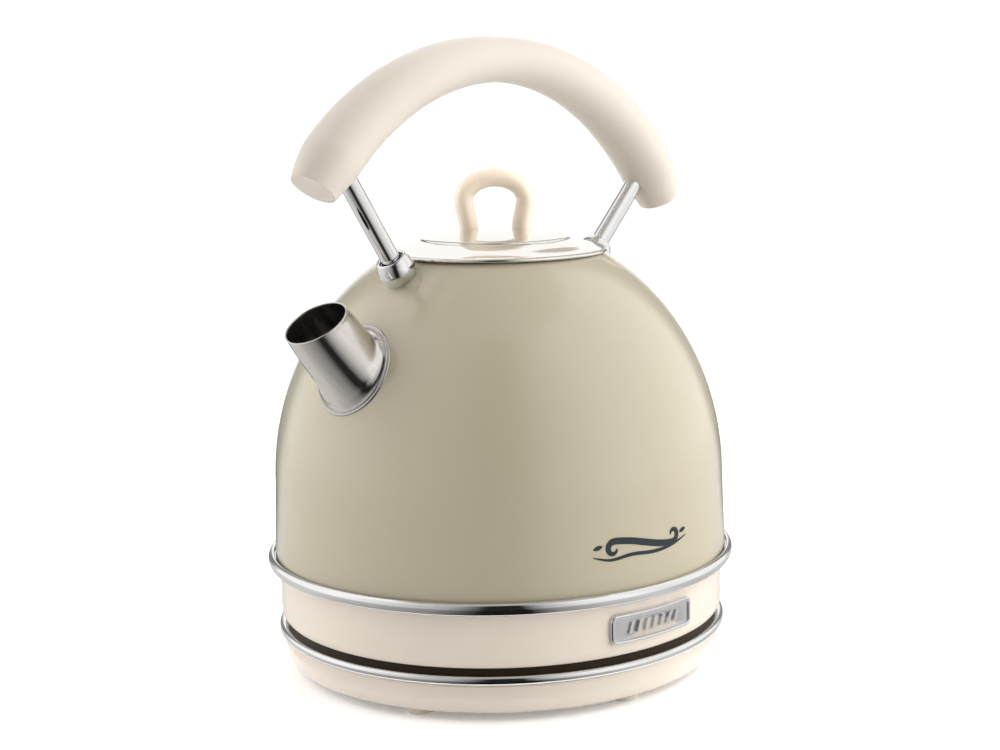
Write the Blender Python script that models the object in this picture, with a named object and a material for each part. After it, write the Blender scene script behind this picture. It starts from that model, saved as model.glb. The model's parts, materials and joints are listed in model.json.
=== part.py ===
"""Dome kettle with a separate 360 degree power base. Millimetre dimensions below, metres in the scene, +Z up.
The spout points to -X, the carrying handle stands in the XZ plane and the badge is on the -Y side."""

import math

import bmesh
import bpy
from mathutils import Matrix, Vector

MM = 0.001
AXIS_X = -3.7  # the round body stands off the middle of the overall box, which the handle and spout stretch
SEG = 40  # facets of every large round piece, so that nested pieces share their facets

# Power base
BASE_R, BASE_LOW_R, BASE_LOW_Z, BASE_EDGE_Z = 89.6, 85.8, 3.2, 14.9
LAND_R, LAND_Z, PLATE_Z, WALL = 87.6, 20.9, 18.0, 2.0
FOOT_R, FOOT_RING, FOOT_ANGLES = 5.5, 78.0, (-159, -99, 21, 81)
SOCKET_R, SOCKET_TOP, GLAND_Z = 18.5, 34.0, 9.8
# Kettle body
SKIRT_R, SKIRT_LOW, SKIRT_TOP, SKIRT_WALL = 90.3, 21.2, 41.9, 2.2
RING_R, RING_LOW, RING_TOP = 95.0, 42.5, 47.3
DOME_R, DOME_MID, DOME_RISE, DOME_FLARE = 91.0, 76.4, 102.2, 0.034
SHELL_WALL, SHELL_FOOT, MOUTH_R, SEAT_R, SEAT_Z = 1.0, 44.6, 40.0, 43.6, 166.0
PLATE_LEVEL = 54.0  # underside of the heater plate
# Lid
LID_R, LID_STEP_R, LID_TOP, LID_TURN = 45.2, 30.3, 176.4, -40.0
KNOB_HALF, KNOB_FOOT, KNOB_TOP, KNOB_TUBE = 12.4, 10.6, 196.2, 3.7
# Spout
SPOUT_Z, SPOUT_FOOT_R, FLANGE_R, MOUTH_AT, MOUTH_TILT, SPOUT_MOUTH_R = 128.7, 16.4, 18.5, (93.8, 147.4), 58.0, 12.3
# Handle: centre line is an arc of an ellipse, sections grow toward the ends
ARCH_X, ARCH_Z, ARCH_A, ARCH_B = 0.1, 129.4, 115.5, 113.2
ARCH_FRONT, ARCH_REAR, GRIP_MID_R, GRIP_END_R = 36.4, 27.7, 8.9, 11.6
FRONT_FOOT, FRONT_TOP = (-53.6, 163.8), (-80.6, 205.2)
REAR_FOOT, REAR_TOP = (58.4, 161.2), (93.8, 197.4)
POST_R, FERRULE_R = 3.75, 7.0
# Switch and badge
SWITCH_AXIS = (80.5, 31.5)
BADGE_W, BADGE_H, BADGE_Z, BADGE_TURN = 41.0, 11.4, 32.2, -96.0
GAP = 0.35


def clear_scene():
    for old in list(bpy.data.objects):
        bpy.data.objects.remove(old, do_unlink=True)


def material(name, colour, rough, metal=0.0):
    made = bpy.data.materials.new(name)
    made.use_nodes = True
    shader = made.node_tree.nodes["Principled BSDF"]
    shader.inputs["Base Color"].default_value = (*colour, 1.0)
    shader.inputs["Roughness"].default_value = rough
    shader.inputs["Metallic"].default_value = metal
    made.diffuse_color = (*colour, 1.0)
    made.roughness, made.metallic = rough, metal
    return made


def at(x, y, z):
    return Vector((x + AXIS_X, y, z)) * MM


def finish_mesh(name, bm, mat, smooth=True, origin=None):
    """Turns a bmesh in world metres into an object; origin is where its pivot goes, in millimetres."""
    bmesh.ops.recalc_face_normals(bm, faces=bm.faces)
    data = bpy.data.meshes.new(name)
    pivot = at(*origin) if origin else Vector()
    bmesh.ops.translate(bm, vec=-pivot, verts=bm.verts)
    bm.to_mesh(data)
    bm.free()
    for face in data.polygons:
        face.use_smooth = smooth
    made = bpy.data.objects.new(name, data)
    made.location = pivot
    bpy.context.scene.collection.objects.link(made)
    data.materials.append(mat)
    return made


def lathe_into(bm, profile, seg, frame):
    """Revolves a closed outline of (radius, height) about the frame's Z; radius 0 points stay single."""
    rings = []
    for r, h in profile:
        if r < 1e-6:
            rings.append([bm.verts.new(frame @ Vector((0, 0, h)))])
        else:
            turns = [2 * math.pi * k / seg for k in range(seg)]
            rings.append([bm.verts.new(frame @ Vector((r * math.cos(a), r * math.sin(a), h))) for a in turns])
    for one, two in zip(rings, rings[1:] + rings[:1]):
        if len(one) == 1 and len(two) == 1:
            continue
        for k in range(seg):
            n = (k + 1) % seg
            if len(one) == 1:
                bm.faces.new((one[0], two[n], two[k]))
            elif len(two) == 1:
                bm.faces.new((one[k], one[n], two[0]))
            else:
                bm.faces.new((one[k], one[n], two[n], two[k]))


def frame_at(x, y, z, axis=(0, 0, 1)):
    """Matrix from local millimetres to world metres, local Z along the axis."""
    turn = Vector((0, 0, 1)).rotation_difference(Vector(axis).normalized()).to_matrix().to_4x4()
    return Matrix.Translation(at(x, y, z)) @ turn @ Matrix.Scale(MM, 4)


def lathe(name, profile, mat, seg=SEG, centre=(0, 0, 0), axis=(0, 0, 1), smooth=True, origin=None):
    bm = bmesh.new()
    lathe_into(bm, profile, seg, frame_at(*centre, axis))
    return finish_mesh(name, bm, mat, smooth, origin)


def rod(name, r, low, high, mat, seg=20, **where):
    return lathe(name, [(0, low), (r, low), (r, high), (0, high)], mat, seg, **where)


def pipe(name, inner, outer, low, high, mat, seg=SEG, **where):
    return lathe(name, [(inner, low), (outer, low), (outer, high), (inner, high)], mat, seg, **where)


def box(name, size, centre, mat, tilt=0.0, turn=0.0, bevel=0.0, origin=None):
    """A block of size millimetres; tilt leans it about Y, turn spins it about the kettle's axis."""
    bm = bmesh.new()
    bmesh.ops.create_cube(bm, size=1.0)
    place = Matrix.Rotation(math.radians(turn), 4, "Z") @ Matrix.Translation(Vector(centre))
    place = place @ Matrix.Rotation(math.radians(tilt), 4, "Y") @ Matrix.Diagonal((*size, 1.0))
    bmesh.ops.transform(bm, matrix=Matrix.Translation(at(0, 0, 0)) @ Matrix.Scale(MM, 4) @ place, verts=bm.verts)
    if bevel:
        bmesh.ops.bevel(bm, geom=bm.edges[:], offset=bevel * MM, segments=2, affect="EDGES", profile=0.5)
    return finish_mesh(name, bm, mat, False, origin)


def sweep(name, stations, mat, seg=16, smooth=True, inner=None):
    """Joins rings; each station is (centre, side, up, half_side, half_up) in millimetres."""
    bm = bmesh.new()
    loops = []
    for centre, side, up, a, b in stations:
        turns = [2 * math.pi * k / seg for k in range(seg)]
        loops.append([bm.verts.new(at(*(centre + side * a * math.cos(t) + up * b * math.sin(t)))) for t in turns])
    pairs = list(zip(loops, loops[1:] + (loops[:1] if inner else [])))
    for one, two in pairs:
        for k in range(seg):
            bm.faces.new((one[k], one[(k + 1) % seg], two[(k + 1) % seg], two[k]))
    if not inner:
        bm.faces.new(loops[0])
        bm.faces.new(loops[-1])
    return finish_mesh(name, bm, mat, smooth)


def combine(target, other, operation="DIFFERENCE"):
    """Boolean with a hidden helper; EXACT keeps thin walls clean."""
    other.hide_render = True
    other.display_type = "WIRE"
    step = target.modifiers.new("use_" + other.name, "BOOLEAN")
    step.operation, step.object, step.solver = operation, other, "EXACT"
    return target


def dome_radius(z):
    if z <= DOME_MID:
        return DOME_R + (DOME_MID - z) * DOME_FLARE
    return DOME_R * math.sqrt(max(0.0, 1 - ((z - DOME_MID) / DOME_RISE) ** 2))


def dome_height(r):
    return DOME_MID + DOME_RISE * math.sqrt(1 - (r / DOME_R) ** 2)


def dome_lean(z):
    """Angle of the outward normal above level, in radians."""
    u = (z - DOME_MID) / DOME_RISE
    return math.atan(DOME_R / DOME_RISE * u / math.sqrt(1 - u * u))


def dome_line(offset, top_r):
    """Points from the dome's foot to the lid seat, pushed out along the normal."""
    out = [(dome_radius(SHELL_FOOT) + offset, SHELL_FOOT), (dome_radius(62) + offset, 62)]
    for k in range(10):
        z = DOME_MID + (dome_height(top_r) - DOME_MID) * math.sin(math.pi / 2 * k / 9)
        lean = dome_lean(z)
        out.append((dome_radius(z) + offset * math.cos(lean), z + offset * math.sin(lean)))
    return out


clear_scene()
DOME_PAINT = material("sage_paint", (0.62, 0.57, 0.40), 0.16)
CREAM = material("cream_plastic", (0.83, 0.77, 0.66), 0.22)
KNOB_CREAM = material("warm_cream_plastic", (0.86, 0.72, 0.52), 0.32)
GRIP_CREAM = material("matte_cream_plastic", (0.80, 0.72, 0.60), 0.48)
CHROME = material("chrome", (0.86, 0.86, 0.87), 0.05, 1.0)
STEEL = material("brushed_steel", (0.68, 0.67, 0.65), 0.26, 1.0)
ALU = material("aluminium", (0.76, 0.77, 0.78), 0.38, 1.0)
BRASS = material("brass", (0.79, 0.58, 0.24), 0.28, 1.0)
DARK = material("dark_nylon", (0.035, 0.032, 0.03), 0.42)
RUBBER = material("grey_silicone", (0.30, 0.29, 0.28), 0.60)
FOOT_RUBBER = material("cream_rubber", (0.72, 0.67, 0.56), 0.65)
LENS = material("amber_lens", (0.80, 0.22, 0.03), 0.12)
BADGE = material("badge_silver", (0.62, 0.62, 0.62), 0.40, 1.0)

# ---- power base -------------------------------------------------------------------------------------
housing = lathe("base_housing", [
    (84.0, BASE_LOW_Z), (BASE_LOW_R, BASE_LOW_Z), (87.7, 4.7), (88.9, 7.2), (BASE_R - 0.1, 10.4),
    (BASE_R, BASE_EDGE_Z), (LAND_R, BASE_EDGE_Z), (LAND_R, LAND_Z), (82.0, LAND_Z), (80.0, PLATE_Z),
    (20.6, PLATE_Z), (20.6, PLATE_Z - WALL), (80.9, PLATE_Z - WALL), (82.8, LAND_Z - WALL),
    (LAND_R - WALL, LAND_Z - WALL), (LAND_R - WALL, 12.9), (BASE_R - 2.2, 12.9), (86.9, 8.0), (85.7, 5.4)], CREAM)
for k in range(3):
    a = math.radians(60 + 120 * k)
    x, y = 58 * math.cos(a), 58 * math.sin(a)
    boss = rod(f"boss_{k + 1}", 4.0, 5.2, PLATE_Z - WALL + 0.8, CREAM, 12, centre=(x, y, 0))
    combine(housing, boss, "UNION")
    combine(housing, rod(f"boss_bore_{k + 1}", 1.9, 4.0, 13.0, CREAM, 12, centre=(x, y, 0)))
gland_hole = rod("gland_hole", 3.9, -8, 8, CREAM, 16, centre=(88, 0, GLAND_Z), axis=(1, 0, 0))
combine(housing, gland_hole)
cover = lathe("base_cover", [(0, 2.3), (83.5, 2.3), (83.5, 3.9), (81.5, 4.9), (79.5, 4.3), (0, 4.3)], CREAM)
for k in range(3):
    a = math.radians(60 + 120 * k)
    x, y = 58 * math.cos(a), 58 * math.sin(a)
    combine(cover, rod(f"cover_hole_{k + 1}", 1.9, 1, 6, CREAM, 12, centre=(x, y, 0)))
    lathe(f"base_screw_{k + 1}", [(0, 0.7), (3.0, 0.7), (3.3, 1.2), (3.3, 2.0), (1.5, 2.0), (1.5, 11), (0, 11)],
          STEEL, 12, (x, y, 0))
for k, angle in enumerate(FOOT_ANGLES):
    a = math.radians(angle)
    lathe(f"foot_{k + 1}", [(0, 0), (FOOT_R - 0.6, 0), (FOOT_R, 0.6), (FOOT_R, 2.0), (0, 2.0)], FOOT_RUBBER, 16,
          (FOOT_RING * math.cos(a), FOOT_RING * math.sin(a), 0))
lathe("base_trim_ring", [
    (87.95, 15.3), (90.5, 15.3), (91.2, 15.9), (91.4, 16.9), (91.1, 17.9), (90.3, 18.6), (88.4, 18.6),
    (87.95, 18.2)], CHROME)
lathe("base_socket", [
    (0, 12.4), (24, 12.4), (24, 15.6), (SOCKET_R, 15.6), (SOCKET_R, 33.0), (17.8, SOCKET_TOP), (15.6, SOCKET_TOP),
    (15.6, 26.0), (12.8, 26.0), (12.8, SOCKET_TOP), (11.0, SOCKET_TOP), (10.2, 33.2), (10.2, 16.5), (0, 16.5)],
    DARK, 32)
lathe("contact_pin", [(0, 16.8), (2.2, 16.8), (2.2, 30.0), (1.4, 31.2), (0, 31.2)], BRASS, 16)
pipe("contact_ring", 13.3, 15.1, 26.4, 32.0, BRASS, 32)
pipe("earth_ring", 18.9, 19.7, 20.0, 25.0, BRASS, 32)
lathe("cord_gland", [
    (2.2, -7.0), (4.8, -7.0), (4.8, -4.4), (3.5, -4.4), (3.5, 1.6), (4.6, 1.9), (4.6, 3.0), (2.2, 3.0)],
    DARK, 16, (88.3, 0, GLAND_Z), (1, 0, 0))

# ---- kettle side connector --------------------------------------------------------------------------
lathe("connector_plug", [
    (4.4, 22.6), (8.4, 22.6), (8.4, 35.9), (20.5, 35.9), (20.5, 22.4), (22.7, 22.4), (22.7, 38.0), (0, 38.0),
    (0, 34.5), (4.4, 34.5)], DARK, 32)
pipe("plug_pin_sleeve", 2.7, 4.0, 23.0, 34.1, BRASS, 16)
pipe("plug_ring_contact", 13.3, 15.1, 32.4, 35.5, BRASS, 32)

# ---- kettle lower body ------------------------------------------------------------------------------
skirt = lathe("skirt", [
    (SKIRT_R, SKIRT_TOP), (SKIRT_R, 24.2), (SKIRT_R - 0.4, 22.6), (SKIRT_R - 1.4, SKIRT_LOW), (86.4, SKIRT_LOW),
    (86.4, 23.2), (SKIRT_R - SKIRT_WALL, 23.2), (SKIRT_R - SKIRT_WALL, SKIRT_TOP)], CREAM)
floor = lathe("skirt_floor", [
    (23.5, 23.6), (87.7, 23.6), (87.7, 25.2), (25.6, 25.2), (25.6, 34.0), (23.5, 34.0)], DARK)
lathe("body_trim_ring", [
    (86.0, 42.3), (92.0, 42.3), (93.8, RING_LOW), (94.7, 43.4), (RING_R, 44.7), (94.8, 45.9), (94.1, 46.8),
    (93.2, RING_TOP), (92.6, 47.1), (92.45, 46.4), (92.45, 44.2), (86.0, 44.2)], CHROME)
lathe("clamp_ring", [(84.0, 49.2), (90.3, 49.2), (90.3, 51.2), (84.0, 51.2)], STEEL)
lathe("heater_seal", [(84.0, 51.5), (90.3, 51.5), (90.3, 53.7), (84.0, 53.7)], RUBBER)
plate = lathe("heater_plate", [(0, PLATE_LEVEL), (90.3, PLATE_LEVEL), (90.3, 55.2), (0, 55.2)], STEEL)
lathe("heat_spreader", [(0, 50.9), (58, 50.9), (58, 53.7), (0, 53.7)], ALU, 32)
ARC = [math.radians(35 + 290 * k / 16) for k in range(17)]
sweep("heating_element", [(Vector((46 * math.cos(a), 46 * math.sin(a), 47.2)), Vector((math.cos(a), math.sin(a), 0)),
                           Vector((0, 0, 1)), 3.2, 3.2) for a in ARC], ALU, 8)
lathe("control_housing", [(0, 38.4), (30, 38.4), (30, 46.5), (27, 48.4), (0, 48.4)], DARK, 24)
for k, x in enumerate((-13, 13)):
    rod(f"dry_boil_disc_{k + 1}", 8.0, 48.8, 49.8, STEEL, 16, centre=(x, 0, 0))

# ---- dome shell -------------------------------------------------------------------------------------
outer, inner = dome_line(0, SEAT_R), dome_line(-SHELL_WALL, SEAT_R + 1.6)
shell = lathe("body_shell", outer + [(SEAT_R - 0.6, SEAT_Z), (MOUTH_R, SEAT_Z), (MOUTH_R, SEAT_Z - 1.2)]
              + [(SEAT_R - 1.2, SEAT_Z - 1.2)] + inner[::-1], DOME_PAINT)
dome_clear = lathe("dome_clear", [(0, SHELL_FOOT)] + dome_line(GAP, 20) + [(0, dome_height(20) + 1)], DOME_PAINT)
lean = dome_lean(SPOUT_Z)
NORMAL, TANGENT = Vector((-math.cos(lean), 0, math.sin(lean))), Vector((math.sin(lean), 0, math.cos(lean)))
ROOT = Vector((-dome_radius(SPOUT_Z), 0, SPOUT_Z))
combine(shell, rod("spout_hole", 11.6, -8, 8, STEEL, 24, centre=ROOT, axis=NORMAL))

# ---- spout ------------------------------------------------------------------------------------------
SIDE = Vector((0, 1, 0))
TIP = Vector((-MOUTH_AT[0], 0, MOUTH_AT[1]))


def spout_ring(t, r, shift=0.0):
    """A ring of the spout: t runs from the dome (0) to the mouth (1), where the cut turns upward."""
    angle = lean + (math.radians(MOUTH_TILT) - lean) * (t ** 1.4)
    face = Vector((-math.cos(angle), 0, math.sin(angle)))
    up = Vector((math.sin(angle), 0, math.cos(angle)))
    return ROOT.lerp(TIP, t) + face * shift, SIDE, up, r, r


outside = [spout_ring(0, SPOUT_FOOT_R, -3.0), spout_ring(0, SPOUT_FOOT_R, -0.1), spout_ring(0, 15.9, 0.5),
           spout_ring(0, 14.9, 1.0), spout_ring(0.10, 14.0), spout_ring(0.20, 13.5), spout_ring(0.35, 13.1),
           spout_ring(0.6, 12.7), spout_ring(0.8, 12.45), spout_ring(0.96, SPOUT_MOUTH_R),
           spout_ring(1, SPOUT_MOUTH_R + 0.15), spout_ring(1, SPOUT_MOUTH_R - 0.2, 0.35)]
bore = [spout_ring(1, SPOUT_MOUTH_R - 0.75, 0.1), spout_ring(0.9, SPOUT_MOUTH_R - 0.9), spout_ring(0.6, 11.6),
        spout_ring(0.2, 11.7), spout_ring(0, 11.8, -3.0)]
spout = combine(sweep("spout_tube", outside + bore, STEEL, 24, inner=True), dome_clear)
flange = lathe("spout_flange", [
    (16.8, -3.2), (FLANGE_R, -3.2), (FLANGE_R, -0.9), (18.2, -0.4), (17.7, -0.2), (17.2, -0.3), (16.8, -0.8)],
    STEEL, 24, ROOT, NORMAL)
combine(flange, dome_clear)

# ---- carrying handle --------------------------------------------------------------------------------
for label, foot, top in (("front", FRONT_FOOT, FRONT_TOP), ("rear", REAR_FOOT, REAR_TOP)):
    start, end = Vector((foot[0], 0, foot[1])), Vector((top[0], 0, top[1]))
    along, reach = (end - start).normalized(), (end - start).length
    ferrule = lathe(f"{label}_ferrule", [
        (4.1, -9), (6.6, -9), (FERRULE_R, -2.5), (FERRULE_R, 0), (6.7, 2.2), (5.9, 4.2), (5.0, 5.4), (4.1, 5.8)],
        CHROME, 20, start, along)
    combine(ferrule, dome_clear)
    under = 3.3 if label == "front" else 4.1
    lathe(f"{label}_post", [
        (0, -13.5), (2.5, -13.5), (2.5, -under), (POST_R, -under), (POST_R, reach), (0, reach)],
        CHROME, 16, start, along)
    combine(shell, rod(f"{label}_stud_hole", 2.9, -12, 4, CHROME, 12, centre=start, axis=along))
    lathe(f"{label}_post_nut", [(3.3, -11.3), (5.8, -11.3), (5.8, -8.6), (3.3, -8.6)], STEEL, 6, start, along,
          smooth=False)

END = [(0.0, 0.80), (0.25, 0.90), (0.9, 0.975), (2.2, 1.0)]  # rounding of the grip's ends: (inset, share of radius)
first, last = math.radians(ARCH_FRONT), math.radians(180 - ARCH_REAR)
turns = [first + (last - first) * k / 16 for k in range(17)]
for inset, _ in END[1:]:
    turns += [first + inset / ARCH_A, last - inset / ARCH_A]
stations = []
for a in sorted(turns):
    place = Vector((ARCH_X - ARCH_A * math.cos(a), 0, ARCH_Z + ARCH_B * math.sin(a)))
    out = Vector((-math.cos(a) / ARCH_A, 0, math.sin(a) / ARCH_B)).normalized()
    edge = min(a - first, last - a) * ARCH_A
    share = 1.0
    for (x0, s0), (x1, s1) in zip(END, END[1:]):
        if edge <= x1 + 1e-6:
            share = s0 + (s1 - s0) * max(0.0, (edge - x0) / (x1 - x0))
            break
    swell = abs(a - math.pi / 2) / (math.pi / 2 - first)
    radius = (GRIP_MID_R + (GRIP_END_R - GRIP_MID_R) * min(1.0, swell) ** 1.3) * share
    stations.append((place, SIDE, out, radius * 1.04, radius))
grip = sweep("grip", stations, GRIP_CREAM, 16)
for label, foot, top in (("front", FRONT_FOOT, FRONT_TOP), ("rear", REAR_FOOT, REAR_TOP)):
    start, end = Vector((foot[0], 0, foot[1])), Vector((top[0], 0, top[1]))
    reach = (end - start).length
    combine(grip, rod(f"{label}_socket", POST_R + GAP, 24, reach + 0.5, GRIP_CREAM, 16, centre=start, axis=end - start))

# ---- filter behind the spout, on two rails ----------------------------------------------------------
BEHIND = ROOT - NORMAL * 9.0
frame_tilt = math.degrees(lean)


def in_spout(across, up, deep):
    return BEHIND + SIDE * across + TANGENT * up + NORMAL * deep


frame = box("filter_frame", (2.4, 33, 40), in_spout(0, 0, 0), DARK, frame_tilt)
combine(frame, box("filter_window", (6, 27, 33), in_spout(0, 0, 0), DARK, frame_tilt))
screen = box("filter_mesh", (0.8, 26.2, 32.2), in_spout(0, 0, 0), STEEL, frame_tilt)
for k in range(6):
    combine(screen, box(f"mesh_slot_{k + 1}", (4, 22, 2.4), in_spout(0, -12.5 + 5 * k, 0), STEEL, frame_tilt))
for k, side in enumerate((-1, 1)):
    rail = box(f"filter_rail_{k + 1}", (4.4, 3.2, 34), in_spout(side * 18.0, -1, 0.2), DARK, frame_tilt)
    combine(rail, box(f"rail_groove_{k + 1}", (3.2, 3.0, 50), in_spout(side * 16.2, 0, 0), DARK, frame_tilt))

# ---- steam path and switch --------------------------------------------------------------------------
pipe("steam_tube", 2.8, 4.0, 46.0, 126.0, STEEL, 14, centre=(69, 0, 0))
combine(plate, rod("steam_hole", 4.4, 50, 60, STEEL, 14, centre=(69, 0, 0)))
rod("steam_bimetal", 7.5, 43.4, 44.4, STEEL, 16, centre=(69, 0, 0))
combine(skirt, box("switch_cut", (12, 17, 13), (89, 0, 31.5), CREAM))
bezel = box("switch_bezel", (2.6, 21.5, 17.0), (91.95, 0, 31.5), DARK, bevel=0.4)
combine(bezel, box("bezel_window", (8, 15, 11.4), (91.9, 0, 31.5), DARK))
sx, sz = SWITCH_AXIS
lever = box("switch_lever", (22, 13.4, 3.0), (sx + 10.5, 0, sz + 1.4), CREAM, -8, bevel=0.5, origin=(sx, 0, sz))
hub = rod("lever_hub", 3.0, -6.7, 6.7, CREAM, 14, centre=(sx, 0, sz), axis=(0, 1, 0))
combine(lever, hub, "UNION")
trip = box("trip_lever", (16, 5, 1.8), (72.5, 0, 40.4), DARK, bevel=0.3, origin=(64.5, 0, 39.6))
lathe("indicator_lamp", [(0, -1.0), (2.2, -1.0), (2.2, 1.4), (1.2, 2.0), (0, 2.2)], LENS, 14,
      (SKIRT_R * math.cos(math.radians(13)), SKIRT_R * math.sin(math.radians(13)), 31.5),
      (math.cos(math.radians(13)), math.sin(math.radians(13)), 0))
lamp_a = math.radians(13)
lamp_at = (SKIRT_R * math.cos(lamp_a), SKIRT_R * math.sin(lamp_a), 31.5)
combine(skirt, rod("lamp_hole", 2.6, -5, 5, CREAM, 14, centre=lamp_at, axis=(math.cos(lamp_a), math.sin(lamp_a), 0)))


# ---- badge ------------------------------------------------------------------------------------------
def round_rect(w, h, r, sides=6):
    """Outline of a rounded rectangle, with extra points along its long sides so that it can be bent."""
    points = []
    for cx, cz, start in ((1, 1, 0), (-1, 1, 90), (-1, -1, 180), (1, -1, 270)):
        for k in range(4):
            a = math.radians(start + 30 * k)
            points.append((cx * (w / 2 - r) + r * math.cos(a), cz * (h / 2 - r) + r * math.sin(a)))
        if start in (0, 180):
            x = w / 2 - r
            points += [((1 if start == 0 else -1) * x * (1 - 2 * k / sides), cz * h / 2) for k in range(1, sides)]
    return points


def bent(u, z, r):
    a = math.radians(BADGE_TURN) + u / SKIRT_R
    return at(r * math.cos(a), r * math.sin(a), BADGE_Z + z)


def bent_plate(name, outer_line, inner_line, low, high, mat):
    """A plate that follows the skirt: between two outlines, or filled to its middle when there is one."""
    bm = bmesh.new()
    loops = [[bm.verts.new(bent(u, z, r)) for u, z in line]
             for line, r in ((outer_line, low), (outer_line, high), (inner_line, high), (inner_line, low))]
    n = len(outer_line)
    for one, two in zip(loops, loops[1:] + loops[:1]):
        for k in range(n):
            bm.faces.new((one[k], one[(k + 1) % n], two[(k + 1) % n], two[k]))
    return finish_mesh(name, bm, mat)


bent_plate("badge_frame", round_rect(BADGE_W, BADGE_H, 2.6), round_rect(BADGE_W - 2.6, BADGE_H - 2.6, 1.5),
           SKIRT_R + 0.35, SKIRT_R + 1.75, CHROME)
bm = bmesh.new()
cols, half_w, half_h = 8, BADGE_W / 2 - 1.9, BADGE_H / 2 - 1.9
grid = [[[bm.verts.new(bent(-half_w + 2 * half_w * i / cols, z, r)) for z in (-half_h, half_h)]
         for r in (SKIRT_R + 0.35, SKIRT_R + 1.0)] for i in range(cols + 1)]
for one, two in zip(grid, grid[1:]):
    for p, q in (((0, 0), (0, 1)), ((0, 1), (1, 1)), ((1, 1), (1, 0)), ((1, 0), (0, 0))):
        bm.faces.new((one[p[0]][p[1]], one[q[0]][q[1]], two[q[0]][q[1]], two[p[0]][p[1]]))
for end in (grid[0], grid[-1]):
    bm.faces.new((end[0][0], end[0][1], end[1][1], end[1][0]))
finish_mesh("badge_plate", bm, BADGE)

# ---- lid --------------------------------------------------------------------------------------------
cap = lathe("lid_cap", [
    (0, LID_TOP), (12, LID_TOP - 0.6), (22, LID_TOP - 2.0), (LID_STEP_R - 0.9, 172.6), (LID_STEP_R, 171.6),
    (37.0, 169.9), (42.4, 168.3), (44.4, 167.9), (LID_R, 167.3), (LID_R, 166.7), (44.6, 166.35), (41.8, 166.35),
    (41.6, 167.3), (36.8, 168.8), (LID_STEP_R - 0.4, 170.5), (20, LID_TOP - 3.0),
    (0, LID_TOP - 1.2)], STEEL)
lathe("lid_collar", [
    (34.6, 157.4), (37.3, 157.4), (37.3, 160.2), (39.3, 160.2), (39.3, 167.2), (36.6, 168.2), (36.6, 160.2),
    (34.6, 160.2)], CREAM)
pipe("lid_seal", 37.6, 39.7, 157.8, 159.9, RUBBER)
lathe("lid_liner", [(0, 161.0), (36.2, 161.0), (36.2, 162.0), (0, 162.0)], STEEL, 32)
yaw = math.radians(LID_TURN)
ACROSS, FACING = Vector((math.cos(yaw), math.sin(yaw), 0)), Vector((-math.sin(yaw), math.cos(yaw), 0))
line = [(KNOB_FOOT, 173.6), (KNOB_FOOT, 176.4), (KNOB_FOOT + 0.5, 179.5), (KNOB_FOOT + 1.3, 183.4)]
line += [(KNOB_HALF * math.cos(math.radians(a)), 187.2 + (KNOB_TOP - 187.2) * math.sin(math.radians(a)))
         for a in range(0, 91, 18)]
line += [(-x, z) for x, z in line[-2::-1]]
loop = []
for k, (x, z) in enumerate(line):
    before, after = line[max(0, k - 1)], line[min(len(line) - 1, k + 1)]
    run = Vector((after[0] - before[0], after[1] - before[1])).normalized()
    loop.append((ACROSS * x + Vector((0, 0, z)), FACING, ACROSS * -run.y + Vector((0, 0, run.x)),
                 KNOB_TUBE * 1.05, KNOB_TUBE))
knob = sweep("lid_knob", loop, KNOB_CREAM, 14)
cap_clear = lathe("cap_clear", [(0, 165), (45, 165), (42.4, 168.6), (37.0, 170.2), (LID_STEP_R, 171.9),
                                (LID_STEP_R - 0.9, 172.9), (22, LID_TOP - 1.7), (12, LID_TOP - 0.3), (0, LID_TOP + 0.3)],
                  STEEL)
combine(knob, cap_clear)
for k, side in enumerate((-1, 1)):
    spot = ACROSS * side * KNOB_FOOT
    lathe(f"lid_knob_screw_{k + 1}", [
        (0, 170.6), (2.8, 170.6), (2.8, 172.9), (1.3, 172.9), (1.3, 182.0), (0, 182.0)], STEEL, 12,
        (spot.x, spot.y, 0))
    combine(cap, rod(f"cap_hole_{k + 1}", 1.7, 165, 181, STEEL, 12, centre=(spot.x, spot.y, 0)))
    combine(knob, rod(f"knob_bore_{k + 1}", 1.65, 165, 182.5, KNOB_CREAM, 12, centre=(spot.x, spot.y, 0)))
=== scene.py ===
# %% [markdown]
# # A dome kettle on its power base
# A cordless kettle is two appliances in one: a round base that stays plugged in, and a vessel that lifts
# off it. The frame loaded here holds its plain measured solids, each tied to the body that it moves with.
# This lesson lays finished pieces over them: smooth turned shells, drawn metal, moulded plastic, and a
# finish for each.

import json
import math

import bmesh
import bpy
from mathutils import Matrix, Vector


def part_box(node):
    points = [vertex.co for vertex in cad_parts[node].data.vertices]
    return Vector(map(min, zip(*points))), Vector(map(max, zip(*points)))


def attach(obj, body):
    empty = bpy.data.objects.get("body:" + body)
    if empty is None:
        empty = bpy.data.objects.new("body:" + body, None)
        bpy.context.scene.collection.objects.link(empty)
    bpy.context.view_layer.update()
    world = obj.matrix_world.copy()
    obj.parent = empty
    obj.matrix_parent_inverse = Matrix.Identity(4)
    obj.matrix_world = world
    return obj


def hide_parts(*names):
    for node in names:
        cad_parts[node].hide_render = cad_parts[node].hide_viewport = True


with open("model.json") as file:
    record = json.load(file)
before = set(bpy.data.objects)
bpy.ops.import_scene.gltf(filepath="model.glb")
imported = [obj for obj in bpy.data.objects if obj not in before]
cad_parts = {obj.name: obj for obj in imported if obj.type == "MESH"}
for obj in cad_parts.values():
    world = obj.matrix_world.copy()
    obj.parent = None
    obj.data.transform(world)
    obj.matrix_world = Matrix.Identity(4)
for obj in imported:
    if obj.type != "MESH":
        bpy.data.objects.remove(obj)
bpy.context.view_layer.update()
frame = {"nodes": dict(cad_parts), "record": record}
MM = 0.001
skirt_low, skirt_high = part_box("skirt")
AXIS_X = (skirt_low.x + skirt_high.x) / 2  # every round piece stands on this axis

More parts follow.
